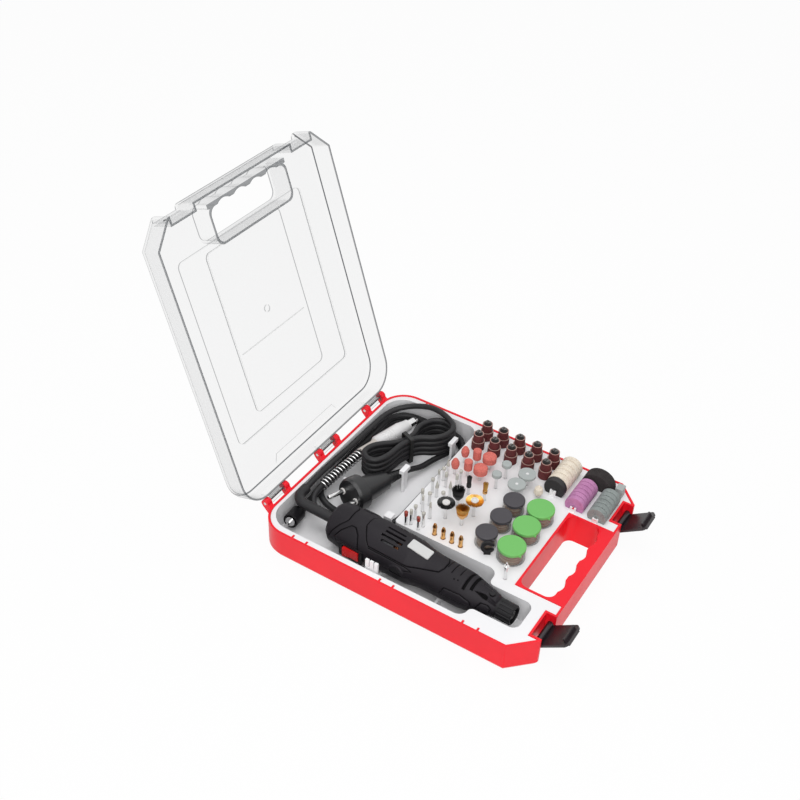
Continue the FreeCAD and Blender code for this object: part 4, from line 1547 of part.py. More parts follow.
def build_spanner():
    half = SPANNER_THICK / 2.0
    plate = rod(Vector(0, 0, -half), Z_AXIS, SPANNER_HEAD, SPANNER_THICK)
    plate = plate.cut(rod(Vector(0, 0, -5.0), Z_AXIS, SPANNER_HEAD - 3.2, 10.0))
    plate = plate.cut(block(0.0, 10.0, -SPANNER_MOUTH, SPANNER_MOUTH, -5.0, 5.0))
    plate = plate.fuse(block(-SPANNER_STEM, SPANNER_STEM, -SPANNER_REACH, -SPANNER_HEAD + 1.6, -half, half))
    plate.rotate(Vector(0, 0, 0), X_AXIS, 90.0)
    plate.rotate(Vector(0, 0, 0), Z_AXIS, SPANNER_TURN)
    plate.translate(Vector(*deck_place(SPANNER_AT), TRAY_TOP + SPANNER_ABOVE))
    return plate.removeSplitter()


def spanner_slot():
    """The slot in the tray that the spanner's stem stands in."""
    half = SPANNER_THICK / 2.0 + FIT_GAP
    slot = block(-SPANNER_STEM - FIT_GAP, SPANNER_STEM + FIT_GAP, -half, half, -SPANNER_REACH, SPANNER_HEAD)
    slot.rotate(Vector(0, 0, 0), Z_AXIS, SPANNER_TURN)
    slot.translate(Vector(*deck_place(SPANNER_AT), TRAY_TOP))
    return slot


def main():
    os.makedirs("parts", exist_ok=True)
    save("base_shell", build_base())
    save("case_pins", *build_case_pins())
    save("lid", build_lid())
    save("latch_left", build_latch(-1.0))
    save("latch_right", build_latch(1.0))
    save("collet_spanner", build_spanner())
    save("tray", build_tray().cut(spanner_slot()))
    drums, sleeves, shanks, stones, brushes, bits, burrs, collets, felt = build_accessories()
    felt_wheels, felt_arbor = wheel_row(FELT_ROW, WHEEL_COUNT, 0.8)
    pink_wheels, pink_arbor = wheel_row(PINK_ROW, WHEEL_COUNT, 0.6)
    green_wheels, green_arbor = wheel_row(GREEN_ROW, WHEEL_COUNT, 0.6)
    cut_discs, disc_arbor = wheel_row(DISC_ROW, CUTOFF_COUNT, 0.0)
    save("drum_mandrels", *drums)
    save("sanding_sleeves", *sleeves)
    x, y = deck_place(DRESSING_STONE)
    dressing_stone = block(x - STONE_LENGTH / 2.0, x + STONE_LENGTH / 2.0, y - STONE_WIDTH / 2.0,
                           y + STONE_WIDTH / 2.0, TRAY_TOP, TRAY_TOP + STONE_HEIGHT)
    save("accessory_shanks", *shanks, felt_arbor, pink_arbor, green_arbor, disc_arbor)
    save("grinding_stones", *stones, dressing_stone)
    save("brush_heads", *brushes)
    save("burr_heads", *burrs, *bits)
    save("collets", *collets)
    save("felt_wheels", *(felt_wheels[1:] + felt))
    save("rubber_wheel", felt_wheels[0])
    save("pink_wheels", *pink_wheels)
    save("green_wheels", *green_wheels)
    save("cutoff_discs", *cut_discs)
    pots, lids, packs = build_pots()
    save("disc_pots", *pots)
    save("pot_lids", *lids)
    save("disc_packs", *packs)
    placement = tool_placement()
    upper, lower = build_housing()
    save("housing_upper", placed(upper, placement))
    save("housing_lower", placed(lower, placement))
    body, rocker = build_switch()
    save("switch_body", placed(body, placement))
    save("switch_rocker", placed(rocker, placement))
    for group in (build_motor(), build_tool_trim()):
        for name, shapes in group.items():
            save(name, *[placed(shape, placement) for shape in shapes])
    save("cord_boot", build_boot())
    free_cords, hank = build_cords()
    save("power_cord", *free_cords)
    save("cord_hank", hank)
    save("cord_tie", build_tie())
    plug_body, pins = build_plug()
    save("plug_body", plug_body)
    save("plug_pins", *pins)
    for name, shapes in build_flex().items():
        save(name, *shapes)


main()
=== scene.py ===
import bpy
import bmesh
import json
import math
import random
import numpy as np
from mathutils import Matrix, Vector


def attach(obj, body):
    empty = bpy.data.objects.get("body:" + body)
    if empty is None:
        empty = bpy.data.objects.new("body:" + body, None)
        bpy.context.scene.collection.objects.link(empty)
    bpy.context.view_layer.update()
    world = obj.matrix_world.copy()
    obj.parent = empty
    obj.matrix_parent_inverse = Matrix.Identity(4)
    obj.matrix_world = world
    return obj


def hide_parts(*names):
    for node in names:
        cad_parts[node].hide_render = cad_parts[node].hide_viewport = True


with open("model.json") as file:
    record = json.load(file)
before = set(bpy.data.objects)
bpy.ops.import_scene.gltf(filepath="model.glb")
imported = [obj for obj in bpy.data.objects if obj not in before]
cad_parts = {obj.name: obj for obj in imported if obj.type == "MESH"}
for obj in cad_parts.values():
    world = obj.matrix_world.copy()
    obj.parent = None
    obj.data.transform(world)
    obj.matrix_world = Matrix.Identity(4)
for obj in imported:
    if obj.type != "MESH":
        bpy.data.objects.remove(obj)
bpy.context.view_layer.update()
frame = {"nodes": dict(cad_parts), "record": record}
nodes = frame["nodes"]

# The tool's own frame: x from its rear end to its nose, z up
TOOL_REAR = Vector((-0.0755, 0.084, 0.0275))
TOOL_YAW = math.radians(-92.65)
TOOL = Matrix.Translation(TOOL_REAR) @ Matrix.Rotation(TOOL_YAW, 4, "Z")


def mm(*values):
    return Vector(values) / 1000.0


# Camera
CAMERA_TARGET = mm(107.8, 130.1, 32.0)
CAMERA_DISTANCE = 1.225
AZIMUTH = math.radians(-59.11)
ELEVATION = math.radians(38.75)
ROLL = math.radians(2.46)
SENSOR_WIDTH = 36.0
FOCAL_PIXELS = 1147.51
PICTURE_PIXELS = 800.0


def make_camera():
    data = bpy.data.cameras.new("camera")
    data.sensor_width = SENSOR_WIDTH
    data.lens = SENSOR_WIDTH * FOCAL_PIXELS / PICTURE_PIXELS
    data.clip_end = 20.0
    camera = bpy.data.objects.new("camera", data)
    bpy.context.scene.collection.objects.link(camera)
    bpy.context.scene.camera = camera
    level = math.cos(ELEVATION)
    back = Vector((math.sin(AZIMUTH) * level, -math.cos(AZIMUTH) * level, math.sin(ELEVATION)))
    camera.location = CAMERA_TARGET + back * CAMERA_DISTANCE
    turn = back.to_track_quat("Z", "Y").to_matrix() @ Matrix.Rotation(ROLL, 3, "Z")
    camera.rotation_euler = turn.to_euler()


make_camera()


def cord_curve(name, points, radius, body):
    """A round cord on a smooth line with these control points."""
    data = bpy.data.curves.new(name, "CURVE")
    data.dimensions = "3D"
    data.bevel_depth = 1.0
    data.bevel_resolution = 5
    data.resolution_u = 10
    data.use_fill_caps = True
    line = data.splines.new("NURBS")
    line.points.add(len(points) - 1)
    for point, spot in zip(line.points, points):
        point.co = (*spot, 1.0)
        point.radius = radius
    line.order_u = 3
    line.use_endpoint_u = True
    piece = bpy.data.objects.new(name, data)
    bpy.context.scene.collection.objects.link(piece)
    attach(piece, body)
    return piece


# Mains cord: boot to hank, the hank's turns, and the lead to the plug
CORD_START = [mm(-58.0, 132.8, 30.4), mm(-40.0, 134.4, 30.0), mm(-12.0, 134.6, 28.6),
              mm(28.0, 134.0, 27.0), mm(62.0, 134.6, 26.0), mm(88.0, 133.0, 26.4),
              mm(103.0, 124.0, 28.5), mm(110.6, 106.0, 33.5)]
NEAR = mm(15.0, 101.0, 0.0)
FAR = mm(87.4, 71.3, 0.0)
ALONG = (FAR - NEAR).normalized()
ACROSS = Vector((-ALONG.y, ALONG.x, 0.0))
WAIST = NEAR + ALONG * 0.0404
NEAR_R = 0.0105
FAR_R = 0.0165
WAIST_R = 0.0034
PITCH = 0.0066
LOOPS = 4
LOWEST = 0.012
TOP = LOWEST + PITCH * LOOPS
UP = Vector((0, 0, 1))
# A hank's end is a half octagon of control points: half a side of it, as a share of the radius
CORNER = math.tan(math.radians(22.5))


def place(centre, a, b, level):
    return centre + ALONG * a + ACROSS * b + UP * level


hank = [place(FAR, FAR_R, 0.022, TOP), place(FAR, FAR_R, -FAR_R * CORNER, TOP)]
level = TOP
for turn in range(LOOPS):
    hank += [place(FAR, FAR_R * CORNER, -FAR_R, level), place(FAR, -0.012, -FAR_R, level),
             place(WAIST, 0.010, -WAIST_R, level), place(WAIST, -0.010, -WAIST_R, level),
             place(NEAR, 0.010, -NEAR_R, level), place(NEAR, -NEAR_R * CORNER, -NEAR_R, level),
             place(NEAR, -NEAR_R, -NEAR_R * CORNER, level),
             place(NEAR, -NEAR_R, NEAR_R * CORNER, level),
             place(NEAR, -NEAR_R * CORNER, NEAR_R, level), place(NEAR, 0.010, NEAR_R, level),
             place(WAIST, -0.010, WAIST_R, level - PITCH / 2.0),
             place(WAIST, 0.010, WAIST_R, level - PITCH / 2.0)]
    level -= PITCH
    hank += [place(FAR, -0.012, FAR_R, level), place(FAR, FAR_R * CORNER, FAR_R, level),
             place(FAR, FAR_R, FAR_R * CORNER, level), place(FAR, FAR_R, -FAR_R * CORNER, level)]
hank += [place(FAR, FAR_R * CORNER, -FAR_R, level)]
RELIEF_END = mm(26.0, 74.5, 18.0)
PLUG_CENTRE = mm(-23.0, 88.6, 24.6)
PLUG_AXIS = (PLUG_CENTRE - RELIEF_END).normalized()
lead = [place(FAR, -0.016, -FAR_R, level), mm(49.0, 66.2, 12.0), RELIEF_END - PLUG_AXIS * 0.009, RELIEF_END]
cord = cord_curve("mains_cord", CORD_START + hank + lead, 0.003, "tool")
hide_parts("power_cord", "cord_hank")

# Flexible shaft's hose
HOSE_START = [(19.6, 120.8, 25.4), (-4.0, 122.6, 25.3), (-28.0, 124.6, 25.3), (-42.5, 125.3, 25.2),
              (-54.8, 125.3, 24.8), (-62.7, 121.6, 23.4), (-68.2, 115.0, 21.6), (-70.5, 106.7, 19.9),
              (-69.0, 98.2, 18.2), (-64.0, 91.3, 16.8), (-57.1, 87.3, 15.8), (-52.6, 82.0, 15.3),
              (-50.5, 75.3, 15.2)]
HOSE_LOOP = [(-50.5, 61.0), (-43.5, 49.0), (-31.5, 42.0), (-8.0, 42.6), (30.0, 41.8), (66.0, 42.5),
             (91.4, 42.0), (103.4, 49.0), (110.3, 61.0), (109.9, 88.0), (110.3, 115.0),
             (103.4, 127.0), (91.4, 134.0), (66.0, 133.4), (28.0, 134.0), (-8.0, 133.5)]
HOSE_UPPER = 15.2
HOSE_LOWER = 8.2
HOSE_DROP = [(-31.5, 134.0, 15.2), (-43.5, 127.0, 14.9), (-50.5, 115.0, 12.0), (-50.2, 95.0, 8.5),
             (-50.6, 78.0, 8.2)]
HOSE_END = [(-30.0, 134.0, 8.2), (-44.0, 133.8, 8.3), (-56.0, 132.5, 10.4), (-67.0, 130.6, 12.6)]
hose_points = [mm(*p) for p in HOSE_START]
hose_points += [mm(x, y, HOSE_UPPER) for x, y in HOSE_LOOP] + [mm(*p) for p in HOSE_DROP]
hose_points += [mm(x, y, HOSE_LOWER) for x, y in HOSE_LOOP] + [mm(*p) for p in HOSE_END]
hose = cord_curve("shaft_hose", hose_points, 0.00325, "flex_shaft")
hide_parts("flex_hose")


# Materials
PLANE_SOFT = 0.0002
LOOKS_UP = 0.8


def new_material(name):
    material = bpy.data.materials.new(name)
    material.use_nodes = True
    tree = material.node_tree
    return material, tree, tree.nodes["Principled BSDF"]


def coordinates(tree):
    return tree.nodes.new("ShaderNodeTexCoord").outputs["Object"]


def noise(tree, scale, detail=4.0, roughness=0.6, source=None):
    node = tree.nodes.new("ShaderNodeTexNoise")
    node.inputs["Scale"].default_value = scale
    node.inputs["Detail"].default_value = detail
    node.inputs["Roughness"].default_value = roughness
    tree.links.new(source or coordinates(tree), node.inputs["Vector"])
    return node.outputs["Fac"]


def ramp(tree, source, stops):
    node = tree.nodes.new("ShaderNodeValToRGB")
    elements = node.color_ramp.elements
    while len(elements) < len(stops):
        elements.new(0.5)
    for element, (position, color) in zip(elements, stops):
        element.position = position
        element.color = (*color[:3], 1.0)
    tree.links.new(source, node.inputs["Fac"])
    return node.outputs["Color"]


def to_range(tree, source, low, high):
    node = tree.nodes.new("ShaderNodeMapRange")
    node.inputs["To Min"].default_value = low
    node.inputs["To Max"].default_value = high
    tree.links.new(source, node.inputs["Value"])
    return node.outputs["Result"]


def bump(tree, height, strength, distance):
    node = tree.nodes.new("ShaderNodeBump")
    node.inputs["Strength"].default_value = strength
    node.inputs["Distance"].default_value = distance
    tree.links.new(height, node.inputs["Height"])
    return node.outputs["Normal"]


def shade(color, factor):
    return tuple(min(1.0, c * factor) for c in color)


def beyond(tree, direction, limit):
    """0 on one side of a plane square to a direction and 1 past its limit, both in metres."""
    product = tree.nodes.new("ShaderNodeVectorMath")
    product.operation = "DOT_PRODUCT"
    product.inputs[1].default_value = direction
    tree.links.new(coordinates(tree), product.inputs[0])
    node = tree.nodes.new("ShaderNodeMapRange")
    node.inputs["From Min"].default_value = limit - PLANE_SOFT
    node.inputs["From Max"].default_value = limit + PLANE_SOFT
    tree.links.new(product.outputs["Value"], node.inputs["Value"])
    return node.outputs["Result"]


def blend_colors(tree, factor, first, second):
    """One of two colours, each a socket or a plain colour."""
    node = tree.nodes.new("ShaderNodeMix")
    node.data_type = "RGBA"
    tree.links.new(factor, node.inputs["Factor"])
    for socket, color in ((node.inputs[6], first), (node.inputs[7], second)):
        if isinstance(color, tuple):
            socket.default_value = (*color[:3], 1.0)
        else:
            tree.links.new(color, socket)
    return node.outputs[2]


def clouded(tree, color, variation, scale=22.0):
    """A colour with faint cloudiness."""
    return ramp(tree, noise(tree, scale, 5.0), ((0.3, shade(color, 1.0 - variation)),
                                                (0.7, shade(color, 1.0 + variation))))


def rimmed(material, second):
    """Gives a material a second colour on the faces that look up."""
    tree = material.node_tree
    shader = tree.nodes["Principled BSDF"]
    first = shader.inputs["Base Color"].links[0].from_socket
    parts = tree.nodes.new("ShaderNodeSeparateXYZ")
    tree.links.new(tree.nodes.new("ShaderNodeTexCoord").outputs["Normal"], parts.inputs["Vector"])
    upward = combine(tree, "GREATER_THAN", parts.outputs["Z"], LOOKS_UP)
    tree.links.new(blend_colors(tree, upward, first, second), shader.inputs["Base Color"])
    return material


def split(material, direction, limit, second):
    """Gives a material a second colour past a plane."""
    tree = material.node_tree
    shader = tree.nodes["Principled BSDF"]
    first = shader.inputs["Base Color"].links[0].from_socket
    past = beyond(tree, direction, limit)
    tree.links.new(blend_colors(tree, past, first, second), shader.inputs["Base Color"])
    return material


def moulded(name, color, rough, grain=900.0, grain_depth=0.00004, variation=0.08, coat=0.0,
            specular=0.5):
    """Moulded plastic or rubber: fine grain, faint cloudiness and uneven gloss."""
    material, tree, shader = new_material(name)
    shader.inputs["Specular IOR Level"].default_value = specular
    tree.links.new(clouded(tree, color, variation), shader.inputs["Base Color"])
    fine = noise(tree, grain, 3.0)
    tree.links.new(to_range(tree, noise(tree, 60.0, 6.0), *rough), shader.inputs["Roughness"])
    tree.links.new(bump(tree, fine, 0.35, grain_depth), shader.inputs["Normal"])
    shader.inputs["Coat Weight"].default_value = coat
    shader.inputs["Coat Roughness"].default_value = 0.15
    return material


def metal(name, color, rough=(0.15, 0.3), scratch=0.5):
    """Turned or plated metal with fine lines and faint tarnish."""
    material, tree, shader = new_material(name)
    shader.inputs["Metallic"].default_value = 1.0
    source = coordinates(tree)
    stretch = tree.nodes.new("ShaderNodeMapping")
    stretch.inputs["Scale"].default_value = (1.0, 1.0, 14.0)
    tree.links.new(source, stretch.inputs["Vector"])
    lines = noise(tree, 700.0, 4.0, 0.7, stretch.outputs["Vector"])
    cloud = noise(tree, 90.0, 4.0)
    tree.links.new(ramp(tree, cloud, ((0.3, shade(color, 0.86)), (0.7, shade(color, 1.05)))),
                   shader.inputs["Base Color"])
    tree.links.new(to_range(tree, lines, *rough), shader.inputs["Roughness"])
    tree.links.new(bump(tree, lines, scratch, 0.00002), shader.inputs["Normal"])
    return material


def gritty(name, dark, light, grain=1400.0, depth=0.00012, rough=0.85):
    """Bonded grit or abrasive cloth: speckled and rough."""
    material, tree, shader = new_material(name)
    cells = tree.nodes.new("ShaderNodeTexVoronoi")
    cells.inputs["Scale"].default_value = grain
    tree.links.new(coordinates(tree), cells.inputs["Vector"])
    mixed = tree.nodes.new("ShaderNodeMath")
    mixed.operation = "MULTIPLY_ADD"
    mixed.inputs[1].default_value = 0.7
    tree.links.new(cells.outputs["Distance"], mixed.inputs[0])
    tree.links.new(noise(tree, 120.0, 6.0), mixed.inputs[2])
    speckles = ramp(tree, mixed.outputs[0], ((0.35, dark), (0.95, light)))
    tree.links.new(speckles, shader.inputs["Base Color"])
    tree.links.new(bump(tree, cells.outputs["Distance"], 0.8, depth), shader.inputs["Normal"])
    tree.links.new(to_range(tree, noise(tree, 300.0), rough - 0.08, min(1.0, rough + 0.08)),
                   shader.inputs["Roughness"])
    return material


def combine(tree, kind, first, second):
    """Two numbers, each a socket or a plain number, through a math node."""
    node = tree.nodes.new("ShaderNodeMath")
    node.operation = kind
    for socket, value in ((node.inputs[0], first), (node.inputs[1], second)):
        if isinstance(value, float):
            socket.default_value = value
        else:
            tree.links.new(value, socket)
    return node.outputs[0]


def painted_edge_lines(tree, axis, face, rim):
    """Painted dark lines in a clear shell, standing in for refraction at its open rim, its outer round and
    its panels' walls.
    """
    source = tree.nodes.new("ShaderNodeTexCoord")
    product = tree.nodes.new("ShaderNodeVectorMath")
    product.operation = "DOT_PRODUCT"
    product.inputs[1].default_value = axis
    tree.links.new(source.outputs["Normal"], product.inputs[0])
    level = combine(tree, "ABSOLUTE", product.outputs["Value"], 0.0)
    bend = combine(tree, "MULTIPLY", combine(tree, "GREATER_THAN", level, ROUND_LOW),
                   combine(tree, "LESS_THAN", level, ROUND_HIGH))
    bend = combine(tree, "MULTIPLY", bend, beyond(tree, axis, face - ROUND_DEPTH))
    upright = combine(tree, "LESS_THAN", level, WALL_LEVEL)
    wall = combine(tree, "MULTIPLY", upright, beyond(tree, axis, face))
    wall = combine(tree, "MULTIPLY", wall, WALL_SHARE)
    edge = combine(tree, "SUBTRACT", beyond(tree, axis, rim - RIM_BAND), beyond(tree, axis, rim))
    return combine(tree, "MAXIMUM", edge, combine(tree, "MAXIMUM", bend, wall))


def clear(name, tint, rough, alpha_face, alpha_edge, power=3.0, lines=None):
    """Clear plastic that shows mostly at its edges, with painted dark lines along its bends when lines are
    given.
    """
    material, tree, shader = new_material(name)
    shader.inputs["Base Color"].default_value = (*tint, 1.0)
    shader.inputs["IOR"].default_value = 1.4
    gloss = to_range(tree, noise(tree, 18.0, 5.0), rough, rough + 0.06)
    tree.links.new(gloss, shader.inputs["Roughness"])
    tree.links.new(bump(tree, noise(tree, 14.0, 2.0), 0.05, 0.0006), shader.inputs["Normal"])
    facing = tree.nodes.new("ShaderNodeLayerWeight")
    facing.inputs["Blend"].default_value = 0.5
    edgeways = combine(tree, "POWER", facing.outputs["Facing"], power)
    alpha = to_range(tree, edgeways, alpha_face, alpha_edge)
    # Painted dark lines along the shell's rim, round and panel walls
    if lines:
        painted_edges = combine(tree, "MULTIPLY", painted_edge_lines(tree, *lines), PAINTED_LINE_ALPHA)
        alpha = combine(tree, "MAXIMUM", alpha, painted_edges)
    tree.links.new(alpha, shader.inputs["Alpha"])
    return material


def banded(name, colors, pitch):
    """A stack of thin discs of several colours."""
    material, tree, shader = new_material(name)
    bands = tree.nodes.new("ShaderNodeTexNoise")
    bands.inputs["Scale"].default_value = 1.0
    bands.inputs["Detail"].default_value = 3.0
    stretch = tree.nodes.new("ShaderNodeMapping")
    stretch.inputs["Scale"].default_value = (4.0, 4.0, 1.0 / pitch)
    tree.links.new(coordinates(tree), stretch.inputs["Vector"])
    tree.links.new(stretch.outputs["Vector"], bands.inputs["Vector"])
    stops = tuple((0.32 + 0.36 * i / (len(colors) - 1), color) for i, color in enumerate(colors))
    tree.links.new(ramp(tree, bands.outputs["Fac"], stops), shader.inputs["Base Color"])
    tree.links.new(to_range(tree, noise(tree, 500.0), 0.75, 0.95), shader.inputs["Roughness"])
    tree.links.new(bump(tree, bands.outputs["Fac"], 0.8, 0.0003), shader.inputs["Normal"])
    return material


# Where one moulding's colour changes: brushes and stones by row, pot lids by size
ROW_BREAK = -0.010
LID_BREAK = -0.062
TOWARD_FRONT = (0.0, -1.0, 0.0)
UPWARD = (0.0, 0.0, 1.0)
TOWARD_TOOL = (-1.0, 0.0, 0.0)
RED_BITS_FROM = 0.0450
DRUM_TOP = 0.0528

# The open lid: its hinge, its outward direction, and how far out its face and its open rim are
HINGE_Y = 149.8
HINGE_Z = 34.0
LID_OUT = (0.0, math.sin(math.radians(107.7)), math.cos(math.radians(107.7)))
LID_HINGE = Vector(LID_OUT).dot(mm(0.0, HINGE_Y, HINGE_Z)) - HINGE_Z / 1000.0
LID_FACE = LID_HINGE + 0.0550
LID_RIM = LID_HINGE + 0.0329
# Bands of the lid that take painted dark lines: the rim's band, the round's slopes and depth, and the panel
# walls' slope and share
RIM_BAND = 0.0009
ROUND_LOW = 0.58
ROUND_HIGH = 0.72
ROUND_DEPTH = 0.008
WALL_LEVEL = 0.4
WALL_SHARE = 0.75
PAINTED_LINE_ALPHA = 0.75
M = {
    "case_red": moulded("case_red", (0.90, 0.006, 0.020), (0.30, 0.42), 1100.0, 0.00003, 0.04, 0.0,
                        0.35),
    "tray_white": moulded("tray_white", (0.90, 0.895, 0.905), (0.42, 0.6), 800.0, 0.00004, 0.015),
    "lid_clear": clear("lid_clear", (0.10, 0.11, 0.12), 0.06, 0.045, 0.80, 5.0,
                       (LID_OUT, LID_FACE, LID_RIM)),
    "latch_black": moulded("latch_black", (0.014, 0.008, 0.011), (0.28, 0.42), 900.0, 0.00003, 0.2,
                           0.2),
    "tool_black": moulded("tool_black", (0.0105, 0.0085, 0.0115), (0.46, 0.62), 1900.0, 0.00009, 0.15,
                          0.0, 0.24),
    "black_plastic": moulded("black_plastic", (0.008, 0.0075, 0.009), (0.36, 0.52), 1200.0, 0.00004,
                             0.15, 0.0, 0.25),
    "cord_black": moulded("cord_black", (0.013, 0.0125, 0.014), (0.42, 0.56), 500.0, 0.00005, 0.2, 0.0,
                          0.35),
    "tie_black": moulded("tie_black", (0.010, 0.010, 0.010), (0.5, 0.6), 700.0, 0.00004, 0.2),
    "rubber_black": moulded("rubber_black", (0.014, 0.013, 0.014), (0.55, 0.75), 900.0, 0.00006, 0.2),
    "drum_rubber": split(moulded("drum_rubber", (0.02, 0.018, 0.018), (0.25, 0.5), 900.0, 0.00006, 0.2),
                         UPWARD, DRUM_TOP, (0.10, 0.095, 0.09)),
    "switch_red": moulded("switch_red", (0.72, 0.008, 0.008), (0.18, 0.3), 900.0, 0.00002, 0.05, 0.4),
    "carbon": moulded("carbon", (0.03, 0.03, 0.03), (0.5, 0.7)),
    "steel": metal("steel", (0.62, 0.61, 0.60)),
    "chrome": metal("chrome", (0.80, 0.80, 0.80), (0.08, 0.2), 0.3),
    "brass": metal("brass", (0.78, 0.44, 0.16), (0.15, 0.3)),
    # Painted shade: iron and copper are far darker than their own colour so the motor seen through the
    # vents looks shaded
    "iron": metal("iron", (0.085, 0.085, 0.09), (0.4, 0.55)),
    "copper": metal("copper", (0.30, 0.12, 0.055), (0.3, 0.45)),
    "diamond": split(gritty("diamond", (0.20, 0.19, 0.17), (0.62, 0.60, 0.54), 3500.0, 0.0001, 0.45),
                     TOWARD_TOOL, RED_BITS_FROM, (0.33, 0.045, 0.03)),
    "sanding": rimmed(gritty("sanding", (0.040, 0.004, 0.006), (0.135, 0.020, 0.021), 1800.0, 0.0002,
                             0.8), (0.46, 0.27, 0.23)),
    "stone": split(gritty("stone", (0.36, 0.065, 0.050), (0.74, 0.185, 0.150), 1100.0, 0.0003, 0.9),
                   TOWARD_FRONT, -ROW_BREAK, (0.43, 0.46, 0.45)),
    "felt": gritty("felt", (0.66, 0.55, 0.43), (0.88, 0.79, 0.66), 700.0, 0.0003, 0.95),
    "pink_grit": gritty("pink_grit", (0.31, 0.10, 0.245), (0.58, 0.255, 0.48), 1500.0, 0.0002, 0.9),
    "green_grit": gritty("green_grit", (0.125, 0.142, 0.137), (0.30, 0.335, 0.325), 1500.0, 0.0002,
                         0.9),
    "disc_black": gritty("disc_black", (0.008, 0.007, 0.007), (0.035, 0.028, 0.028), 1500.0, 0.0002,
                         0.9),
    "disc_pack": banded("disc_pack", ((0.10, 0.085, 0.07), (0.30, 0.22, 0.15), (0.20, 0.055, 0.025),
                                      (0.42, 0.33, 0.24), (0.14, 0.12, 0.10)), 0.0016),
    "bristle": metal("bristle", (0.74, 0.42, 0.11), (0.25, 0.4)),
    "pot_clear": clear("pot_clear", (0.42, 0.42, 0.40), 0.05, 0.10, 0.75),
    "pot_lid": split(moulded("pot_lid", (0.040, 0.036, 0.043), (0.42, 0.58), 900.0, 0.00004, 0.1),
                     TOWARD_FRONT, -LID_BREAK, (0.16, 0.50, 0.12)),
}
EXTRA = {
    "bristle_black": moulded("bristle_black", (0.010, 0.010, 0.010), (0.4, 0.6), variation=0.3),
    # Pale plastic for the wheel brush's hub, also used for the painted highlight rings at the plug's pins
    "pale_hub_and_pin_highlight": moulded("pale_hub_and_pin_highlight", (0.74, 0.72, 0.70), (0.3, 0.45), 900.0, 0.00004, 0.05),
    # Painted shade: a darker black for housing faces deep in grooves, slots and recesses, and for the
    # housing's inner face
    "painted_groove_shade": moulded("painted_groove_shade", (0.0018, 0.0016, 0.0020), (0.7, 0.85), 1900.0, 0.00004, 0.1,
                           0.0, 0.12),
    "plate_pale": moulded("plate_pale", (0.64, 0.64, 0.63), (0.25, 0.4), 900.0, 0.00002, 0.03),
    "nut_dark": metal("nut_dark", (0.16, 0.155, 0.15), (0.3, 0.45)),
    "neck_cream": moulded("neck_cream", (0.62, 0.57, 0.52), (0.25, 0.4), 900.0, 0.00003, 0.08, 0.3),
    "sleeve_pale": moulded("sleeve_pale", (0.80, 0.79, 0.79), (0.22, 0.35), 900.0, 0.00002, 0.04,
                           0.3),
    "plug_black": moulded("plug_black", (0.010, 0.010, 0.011), (0.30, 0.46), 900.0, 0.00004, 0.15,
                          0.1),
}
slots = {entry["node"]: entry["material_slot"] for entry in frame["record"]["subparts"]}
for name, node in nodes.items():
    node.data.materials.clear()
    node.data.materials.append(M[slots[name]])
cord.data.materials.append(M["cord_black"])
hose.data.materials.append(M["cord_black"])


# Pieces that stand for plainer solids
def add_piece(name, verts, faces, material, body, angle=35.0, face_materials=None):
    """A mesh object with its material, riding on a body."""
    data = bpy.data.meshes.new(name)
    data.from_pydata([tuple(v) for v in verts], [], faces)
    data.update()
    materials = material if isinstance(material, (list, tuple)) else [material]
    for entry in materials:
        data.materials.append(entry)
    if face_materials is not None:
        data.polygons.foreach_set("material_index", face_materials)
    data.shade_smooth()
    data.set_sharp_from_angle(angle=math.radians(angle))
    piece = bpy.data.objects.new(name, data)
    bpy.context.scene.collection.objects.link(piece)
    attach(piece, body)
    return piece


def smooth(value):
    """0 below 0, 1 above 1, and a smooth rise between."""
    t = np.clip(value, 0.0, 1.0)
    return t * t * (3.0 - 2.0 * t)


def segment_distance(px, py, points, closed):
    """The least distance to a line of points."""
    least = np.full(px.shape, 1e9)
    ends = points[1:] + points[:1] if closed else points[1:]
    for (ax, ay), (bx, by) in zip(points, ends):
        dx, dy = bx - ax, by - ay
        t = np.clip(((px - ax) * dx + (py - ay) * dy) / (dx * dx + dy * dy), 0.0, 1.0)
        least = np.minimum(least, np.hypot(px - ax - t * dx, py - ay - t * dy))
    return least


def inside(px, py, points):
    """Which places lie inside a closed outline."""
    result = np.zeros(px.shape, bool)
    for (ax, ay), (bx, by) in zip(points, points[1:] + points[:1]):
        if ay != by:
            cross = (ay > py) != (by > py)
            result ^= cross & (px < (bx - ax) * (py - ay) / (by - ay) + ax)
    return result


# The tool's housing, as millimetres from its rear end and degrees round from its top
HOUSING_X = (0.0, 3.0, 12.0, 30.0, 50.0, 88.0, 100.0, 106.0, 144.0, 152.0, 160.0, 168.0, 175.0,
             179.0)
HOUSING_R = (17.5, 20.0, 21.2, 22.3, 22.2, 21.3, 19.0, 18.3, 17.5, 16.3, 14.4, 12.3, 10.2, 9.8)
HOUSING_END = 179.0
HOUSING_WALL = 2.2
BOOT_HOLE = 7.55
NOSE_HOLE = 7.4
REAR_FACE = 13.0
STATION_STEP = 0.45
ANGLE_COUNT = 181
DEGREE = 0.37
GROOVE_HALF = 0.5
GROOVE_DEPTH = 0.75
